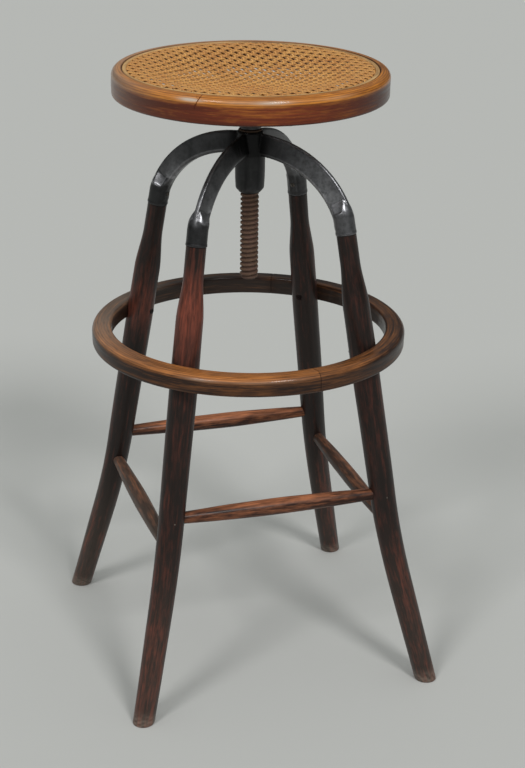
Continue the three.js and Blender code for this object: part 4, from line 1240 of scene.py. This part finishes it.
        # Grease and painted shade round the hub, darkest between the arms, a painted shadow at the root of
        # the front left arm, and grease on the sockets' lower parts
        arm_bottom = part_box("arm_spider")[1].z - 0.031
        grease_and_shade_at_hub = 1 - smooth_step((radius - 0.020) / 0.022)
        grease = grease_and_shade_at_hub * (0.72 + 0.27 * smooth_step((points[:, 2] - arm_bottom + 0.004) / 0.006))
        shadow_middle = np.array([-0.030, -0.026, arm_bottom + 0.022])
        painted_shadow_blot = 1 - smooth_step((np.linalg.norm(points - shadow_middle, axis=1) - 0.012) / 0.016)
        at_socket = 1 - smooth_step((points[:, 2] - self.sizes.socket_height - 0.026) / 0.006)
        at_left = np.clip(-np.cos(np.radians(around)), 0, 1)
        grease = np.maximum(np.maximum(grease, painted_shadow_blot), (0.5 + 0.3 * at_left) * at_socket)
        write_attribute(mesh, "grease", grease)
        finish = iron_finish("iron_finish", self.colours.iron_black, self.colours.iron_worn)
        place(mesh, "arm_spider_casting", finish, "stand", ["arm_spider"], "iron", crease=55)
        return {"FINISHED"}


class STOOL_OT_legs(StoolStep):
    """Four turned and bent legs"""

    bl_idname = "stool.legs"
    bl_label = "Legs"

    def execute(self, context):
        finish = wood_finish("leg_finish", self.colours.leg_dark, self.colours.leg_worn,
                             pores=0.5, streaks=0.34, gloss=0.40, coat=0.2, coat_rough=0.16,
                             growth=0.004, lean=(0.8, 0.6, 0.0), growth_shown=0.25, speckle=0.40,
                             fleck_way=(1, 1, 4), shine=0.22)
        # How worn the reddest part is, its height and reach, and how worn the lower end is
        worn_parts = {"front_left": (0.66, 0.535, 0.065, 0.06), "front_right": (0.08, 0.40, 0.05, 0.05),
                      "rear_right": (0.05, 0.50, 0.05, 0.04), "rear_left": (0.32, 0.47, 0.05, 0.12)}
        for seed, (corner, turn) in enumerate(corners.items(), 1):
            single(f"leg_{corner}_turned", [leg_skin(self.sizes, seed, turn, worn_parts[corner])], finish,
                   "stand", [f"leg_{corner}"], "leg_wood", crease=50)
        return {"FINISHED"}


class STOOL_OT_foot_ring(StoolStep):
    """Bent foot ring with its two joints, worn light on top"""

    bl_idname = "stool.foot_ring"
    bl_label = "Foot ring"

    def execute(self, context):
        low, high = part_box("foot_ring")
        ring_width = 0.0262
        outer, inner = high.x, high.x - ring_width
        joints = [math.radians(-81.0), math.radians(63.0)]
        angles = hoop_angles(420, joints, math.radians(0.5), 21)
        profile = hoop_profile(inner, outer, low.z, high.z, top_round=0.009, edge_round=0.004)
        rings = revolved(profile, angles)
        radius = np.hypot(rings[..., 0], rings[..., 1])
        a, z = angles[:, None], rings[..., 2]
        middle, half = (inner + outer) / 2, (outer - inner) / 2
        out_way = (radius - middle) / half
        up_way = (z - (low.z + high.z) / 2) / half
        turn = np.arctan2(up_way, out_way)
        uneven = (ripple(a, turn, 31) - 1) * 0.0004
        groove_depth = 0.0007
        groove = sum(bump_at(a, joint, math.radians(0.09)) for joint in joints)
        push = uneven - groove_depth * groove
        rings[..., 0] += push * out_way * np.cos(a)
        rings[..., 1] += push * out_way * np.sin(a)
        rings[..., 2] += push * up_way
        grain, depth = ring_grain(rings, angles, middle)
        patch = ripple(2 * a, turn, 14)

        # Shoes have worn the top, most at the front and the left, and less just past the front joint
        near = ways_round(a)
        past_joint = smooth_step((a - joints[0]) / 0.002) * (1 - smooth_step((a - joints[0] - 0.5) / 0.3))
        shoes = 0.05 + 0.80 * near(-110, 42) + 0.38 * near(-176, 30) + 0.20 * near(-60, 18)
        worn_top = smooth_step((up_way - 0.30) / 0.5)
        wear = worn_top * (shoes + 0.16 * patch - 0.16 * past_joint)
        outer_face = smooth_step((out_way - 0.5) / 0.3) * (1 - worn_top)
        # The front of the outer face is painted lighter: a painted highlight
        wear = wear + 0.02 - 0.45 * groove + outer_face * 0.22 * near(-108, 34)
        # Old dirt: on the inner side, the underside and the outer face, in the joints, and on top at the
        # back; less on the front of the outer face, where a highlight is painted
        stain = 0.45 * near(58, 50) * worn_top + 0.3 * groove + 0.78 * (1 - worn_top) * (1 - outer_face)
        stain = stain + outer_face * (0.62 - 0.34 * near(-112, 30)) + 0.25 * worn_top * near(95, 45)
        # Bleached on top at the left, dusty where no shoe comes, and knocks with a painted highlight along
        # the edge at the front left
        bleached = worn_top * (0.24 * near(168, 30) + 0.22 * near(128, 15))
        dusty = 0.07 * (1 - worn_top) * (1 - outer_face)
        edge = bump_at(up_way, 0.55, 0.1) * bump_at(out_way, 0.85, 0.14)
        pale = bleached + dusty + 0.5 * edge * (1.3 * near(-124, 5) + 0.7 * near(-104, 14))
        finish = wood_finish("ring_finish", self.colours.ring_dark, self.colours.ring_worn, pores=0.6,
                             streaks=0.28, gloss=0.42, coat=0.32, coat_rough=0.13, growth=0.0029,
                             growth_shown=0.8, wander=0.6, speckle=0.12, shine=0.2, fineness=2.0)
        single("foot_ring_bent", [skin(rings, True, grain=grain, depth=depth, wear=wear,
                                       stain=np.clip(stain, 0, 1), pale=np.clip(pale, 0, 1))],
               finish, "stand", ["foot_ring"], "ring_wood")
        return {"FINISHED"}


class STOOL_OT_stretchers(StoolStep):
    """Four turned stretchers, thickest at their middle"""

    bl_idname = "stool.stretchers"
    bl_label = "Stretchers"

    def execute(self, context):
        sizes = self.sizes
        finish = wood_finish("stretcher_finish", self.colours.stretcher_dark, self.colours.stretcher_worn,
                             pores=0.55, streaks=0.34, gloss=0.44, coat=0.12, growth=0.004,
                             lean=(0.7, 0.7, 0.0), growth_shown=0.3, speckle=0.34, fleck_way=(1, 1, 4),
                             shine=0.2, fineness=1.3)
        columns, leg_half, end_round = 40, 0.0155, 0.001
        a = np.linspace(0, 2 * math.pi, columns, endpoint=False)[None, :]
        for seed, (side, (way, is_high)) in enumerate(sides.items(), 60):
            low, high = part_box(f"stretcher_{side}")
            height = (low.z + high.z) / 2
            tip = max(high.x - low.x, high.y - low.y) / 2
            offset = max(abs(low.x + high.x), abs(low.y + high.y)) / 2
            x = np.linspace(-tip, tip, 150)[:, None]
            free = offset - leg_half
            bow = np.cos(np.clip(x / free, -1, 1) * math.pi / 2)
            r = sizes.stretcher_end / 2 + (sizes.stretcher_middle - sizes.stretcher_end) / 2 * bow
            r = r - end_round * (1 - smooth_step((tip - np.abs(x)) / end_round))
            r = r + 0.00025 * (ripple(math.pi * x / tip, a, seed) - 1)
            across, up = r * np.cos(a), r * np.sin(a)
            along = np.broadcast_to(x, across.shape)
            rings = np.stack([along, across - offset, up + height], -1)
            grain = np.stack([across, up, along * grain_stretch], -1)
            # The higher pair is worn on top around its middle, where feet rest
            worn = 0.62 if is_high else 0.06
            wear = 0.02 + 0.06 * is_high + worn * smooth_step(np.sin(a) * 0.8 + 0.1) * bump_at(x, 0, 0.10)
            wear = wear + 0.1 * ripple(2 * math.pi * x / tip, a, seed + 4)
            dusty = np.full(across.shape, {"left": 0.09, "right": 0.04}.get(side, 0.0))
            depth = np.full(across.shape, seed * 0.11)
            single(f"stretcher_{side}_turned",
                   [skin(turn_z(rings, way + 90), grain=grain, depth=depth, wear=wear, pale=dusty)],
                   finish, "stand", [f"stretcher_{side}"], "stretcher_wood")
        return {"FINISHED"}


class STOOL_OT_fasteners(StoolStep):
    """Screws of the foot ring and the sockets, and the brads of the stretchers"""

    bl_idname = "stool.fasteners"
    bl_label = "Fasteners"

    def execute(self, context):
        sizes = self.sizes
        steel = steel_finish("fastener_finish", self.colours.steel_aged)
        varnished = steel_finish("varnished_screw_finish", self.colours.leg_dark)
        ring_low, ring_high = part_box("foot_ring")
        ring_height = (ring_low.z + ring_high.z) / 2
        # A leg leans, so level with the foot ring its half width is a little more than its radius. The heads
        # of screws and brads stand a little proud
        leaning, head_proud, brad_proud = 1.017, 0.0002, 0.0004
        leg_middle = leg_frames(np.array([ring_height]), sizes)[0][0]
        leg_in = leg_middle[0] - leg_radius(np.array([ring_height]), sizes)[0] * leaning
        middle, along, outwards = (v[0] for v in leg_frames(np.array([sizes.socket_height]), sizes))
        screw_up_socket = 0.017
        socket_in = middle + along * screw_up_socket - outwards * (sizes.socket_diameter / 2)
        for number, (corner, turn) in enumerate(corners.items()):
            where = turn_z(np.array([leg_in - head_proud, 0, ring_height]), turn)
            way = turn_z(np.array([1.0, 0, 0]), turn)
            skins = screw_skins(where, way, roll=25 + 50 * number, head_radius=0.0045, dome=0.0004,
                                back=0.003, shank_radius=0.0023, length_in=0.03)
            single(f"ring_screw_{corner}_slotted", skins, varnished, "stand", [f"ring_screw_{corner}"],
                   "fastener_steel")
            skins = screw_skins(turn_z(socket_in, turn), turn_z(outwards, turn), roll=70 * number,
                                head_radius=0.00325, dome=0.0016, back=0.001, shank_radius=0.0017,
                                length_in=0.011)
            single(f"socket_screw_{corner}_slotted", skins, steel, "stand", [f"socket_screw_{corner}"],
                   "fastener_steel")
        for side, (way, _) in sides.items():
            for end in ("a", "b"):
                name = f"brad_{side}_{end}"
                low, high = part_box(name)
                head = np.array([(low.x + high.x) / 2, (low.y + high.y) / 2, (low.z + high.z) / 2])
                out = turn_z(np.array([1.0, 0, 0]), way)
                half = (high.x - low.x) / 2 if abs(out[0]) > 0.5 else (high.y - low.y) / 2
                # A nail's radii from the middle of its domed head to its point, and how deep each lies
                radii = [0.0003, 0.0009, 0.00145, 0.0016, 0.0016, 0.0011, 0.0011, 0.0003]
                depths = [-0.0006, -0.00052, -0.0002, 0.0001, 0.0008, 0.0009, 2 * half - 0.001, 2 * half]
                start = head + out * (half + brad_proud)
                rings = aim(stacked(radii, depths, 18), start, -out)
                single(name + "_nail", [skin(rings)], steel, "stand", [name], "fastener_steel")
        return {"FINISHED"}


class STOOL_OT_stage(StoolStep):
    """Pale floor, soft lights and the photograph's camera"""

    bl_idname = "stool.stage"
    bl_label = "Stage"

    def execute(self, context):
        scene = context.scene
        reach, corner_count, drop = 30.0, 96, 0.0002
        mesh = bpy.data.meshes.new("floor")
        angles = np.linspace(0, 2 * math.pi, corner_count, endpoint=False)
        edge = np.stack([reach * np.cos(angles), reach * np.sin(angles), np.full(corner_count, -drop)], -1)
        mesh.from_pydata(edge.tolist(), [], [list(range(corner_count))])
        mesh.materials.append(floor_finish("floor_finish", self.colours.floor_pale))
        floor = bpy.data.objects.new("floor", mesh)
        scene.collection.objects.link(floor)

        world = bpy.data.worlds.new("studio")
        world.use_nodes = True
        tree = world.node_tree
        # The studio's light from above: dim near the horizon and even round the stool
        coordinates = node(tree, "ShaderNodeTexCoord").outputs["Generated"]
        heading = node(tree, "ShaderNodeSeparateXYZ", {0: coordinates})
        sky = spread_out(tree, heading.outputs["Z"], low=0.25, high=1.0, to_low=0.085, to_high=0.61)
        tree.nodes["Background"].inputs["Color"].default_value = (0.95, 1.0, 0.98, 1.0)
        tree.links.new(sky, tree.nodes["Background"].inputs["Strength"])
        scene.world = world

        def lamp(name, way, lift, strength, softness):
            """A soft light so far away that it falls evenly, from a way and a lift over the floor. Both, and
            its softness, are in degrees."""
            light = bpy.data.lights.new(name, "SUN")
            light.energy = strength
            light.angle = math.radians(softness)
            holder = bpy.data.objects.new(name, light)
            scene.collection.objects.link(holder)
            a, b = math.radians(way), math.radians(lift)
            back = np.array([math.cos(b) * math.cos(a), math.cos(b) * math.sin(a), math.sin(b)])
            side = np.cross([0, 0, 1], back)
            side /= np.linalg.norm(side)
            axes = np.stack([side, np.cross(back, side), back], -1)
            holder.matrix_world = Matrix([[*map(float, row)] for row in axes]).to_4x4()

        lamp("light_right", way=-79, lift=42, strength=1.15, softness=14)
        lamp("light_left", way=-143, lift=42, strength=0.85, softness=16)

        # The camera's place, turns (in radians) and lens, fitted to points measured in the photograph
        distance, eye_height = 2.230011, 1.294017
        pitch, pan, roll, beside = 0.389, 0.009, 0.0136, math.radians(-16.97)
        look = np.array([math.sin(pan) * math.cos(pitch), math.cos(pan) * math.cos(pitch), -math.sin(pitch)])
        level = np.array([math.cos(pan), -math.sin(pan), 0])
        over = np.cross(level, look)
        right = math.cos(roll) * level + math.sin(roll) * over
        upward = -math.sin(roll) * level + math.cos(roll) * over
        axes = turn_z(np.stack([right, upward, -look]), math.degrees(beside)).T
        where = turn_z(np.array([0, -distance, eye_height]), math.degrees(beside))
        lens = bpy.data.cameras.new("camera")
        focal_pixels, long_side, sensor = 1768.291, 768, 36.0
        lens.sensor_fit = "AUTO"
        lens.sensor_width = sensor
        lens.lens = focal_pixels / long_side * sensor
        lens.clip_end = 100
        camera = bpy.data.objects.new("camera", lens)
        scene.collection.objects.link(camera)
        turn = Matrix([[*map(float, row)] for row in axes]).to_4x4()
        camera.matrix_world = Matrix.Translation([float(v) for v in where]) @ turn
        scene.camera = camera
        scene.view_settings.view_transform = "Standard"
        return {"FINISHED"}


steps = (
    STOOL_OT_seat_ring, STOOL_OT_cane, STOOL_OT_cane_spline, STOOL_OT_seat_iron, STOOL_OT_height_screw,
    STOOL_OT_wear_washer, STOOL_OT_arm_spider, STOOL_OT_legs, STOOL_OT_foot_ring, STOOL_OT_stretchers,
    STOOL_OT_fasteners, STOOL_OT_stage,
)


class STOOL_PT_sidebar(bpy.types.Panel):
    """The stool's steps, sizes and colours"""

    bl_idname = "STOOL_PT_sidebar"
    bl_label = "Revolving piano stool"
    bl_space_type = "VIEW_3D"
    bl_region_type = "UI"
    bl_category = "Stool"

    def draw(self, context):
        for step in steps:
            self.layout.operator(step.bl_idname)
        for group in (context.scene.stool_sizes, context.scene.stool_colours):
            box = self.layout.box()
            for key in group.__annotations__:
                box.prop(group, key)


classes = (StoolSizes, StoolColours) + steps + (STOOL_PT_sidebar,)


def register():
    """Adds the classes, and the sizes and colours of the scene."""
    for each in classes:
        bpy.utils.register_class(each)
    bpy.types.Scene.stool_sizes = PointerProperty(type=StoolSizes)
    bpy.types.Scene.stool_colours = PointerProperty(type=StoolColours)


def unregister():
    """Takes them away again."""
    del bpy.types.Scene.stool_colours
    del bpy.types.Scene.stool_sizes
    for each in reversed(classes):
        bpy.utils.unregister_class(each)


def main():
    """Builds every piece in order."""
    register()
    for step in steps:
        group, name = step.bl_idname.split(".")
        getattr(getattr(bpy.ops, group), name)()


if __name__ == "__main__":
    main()
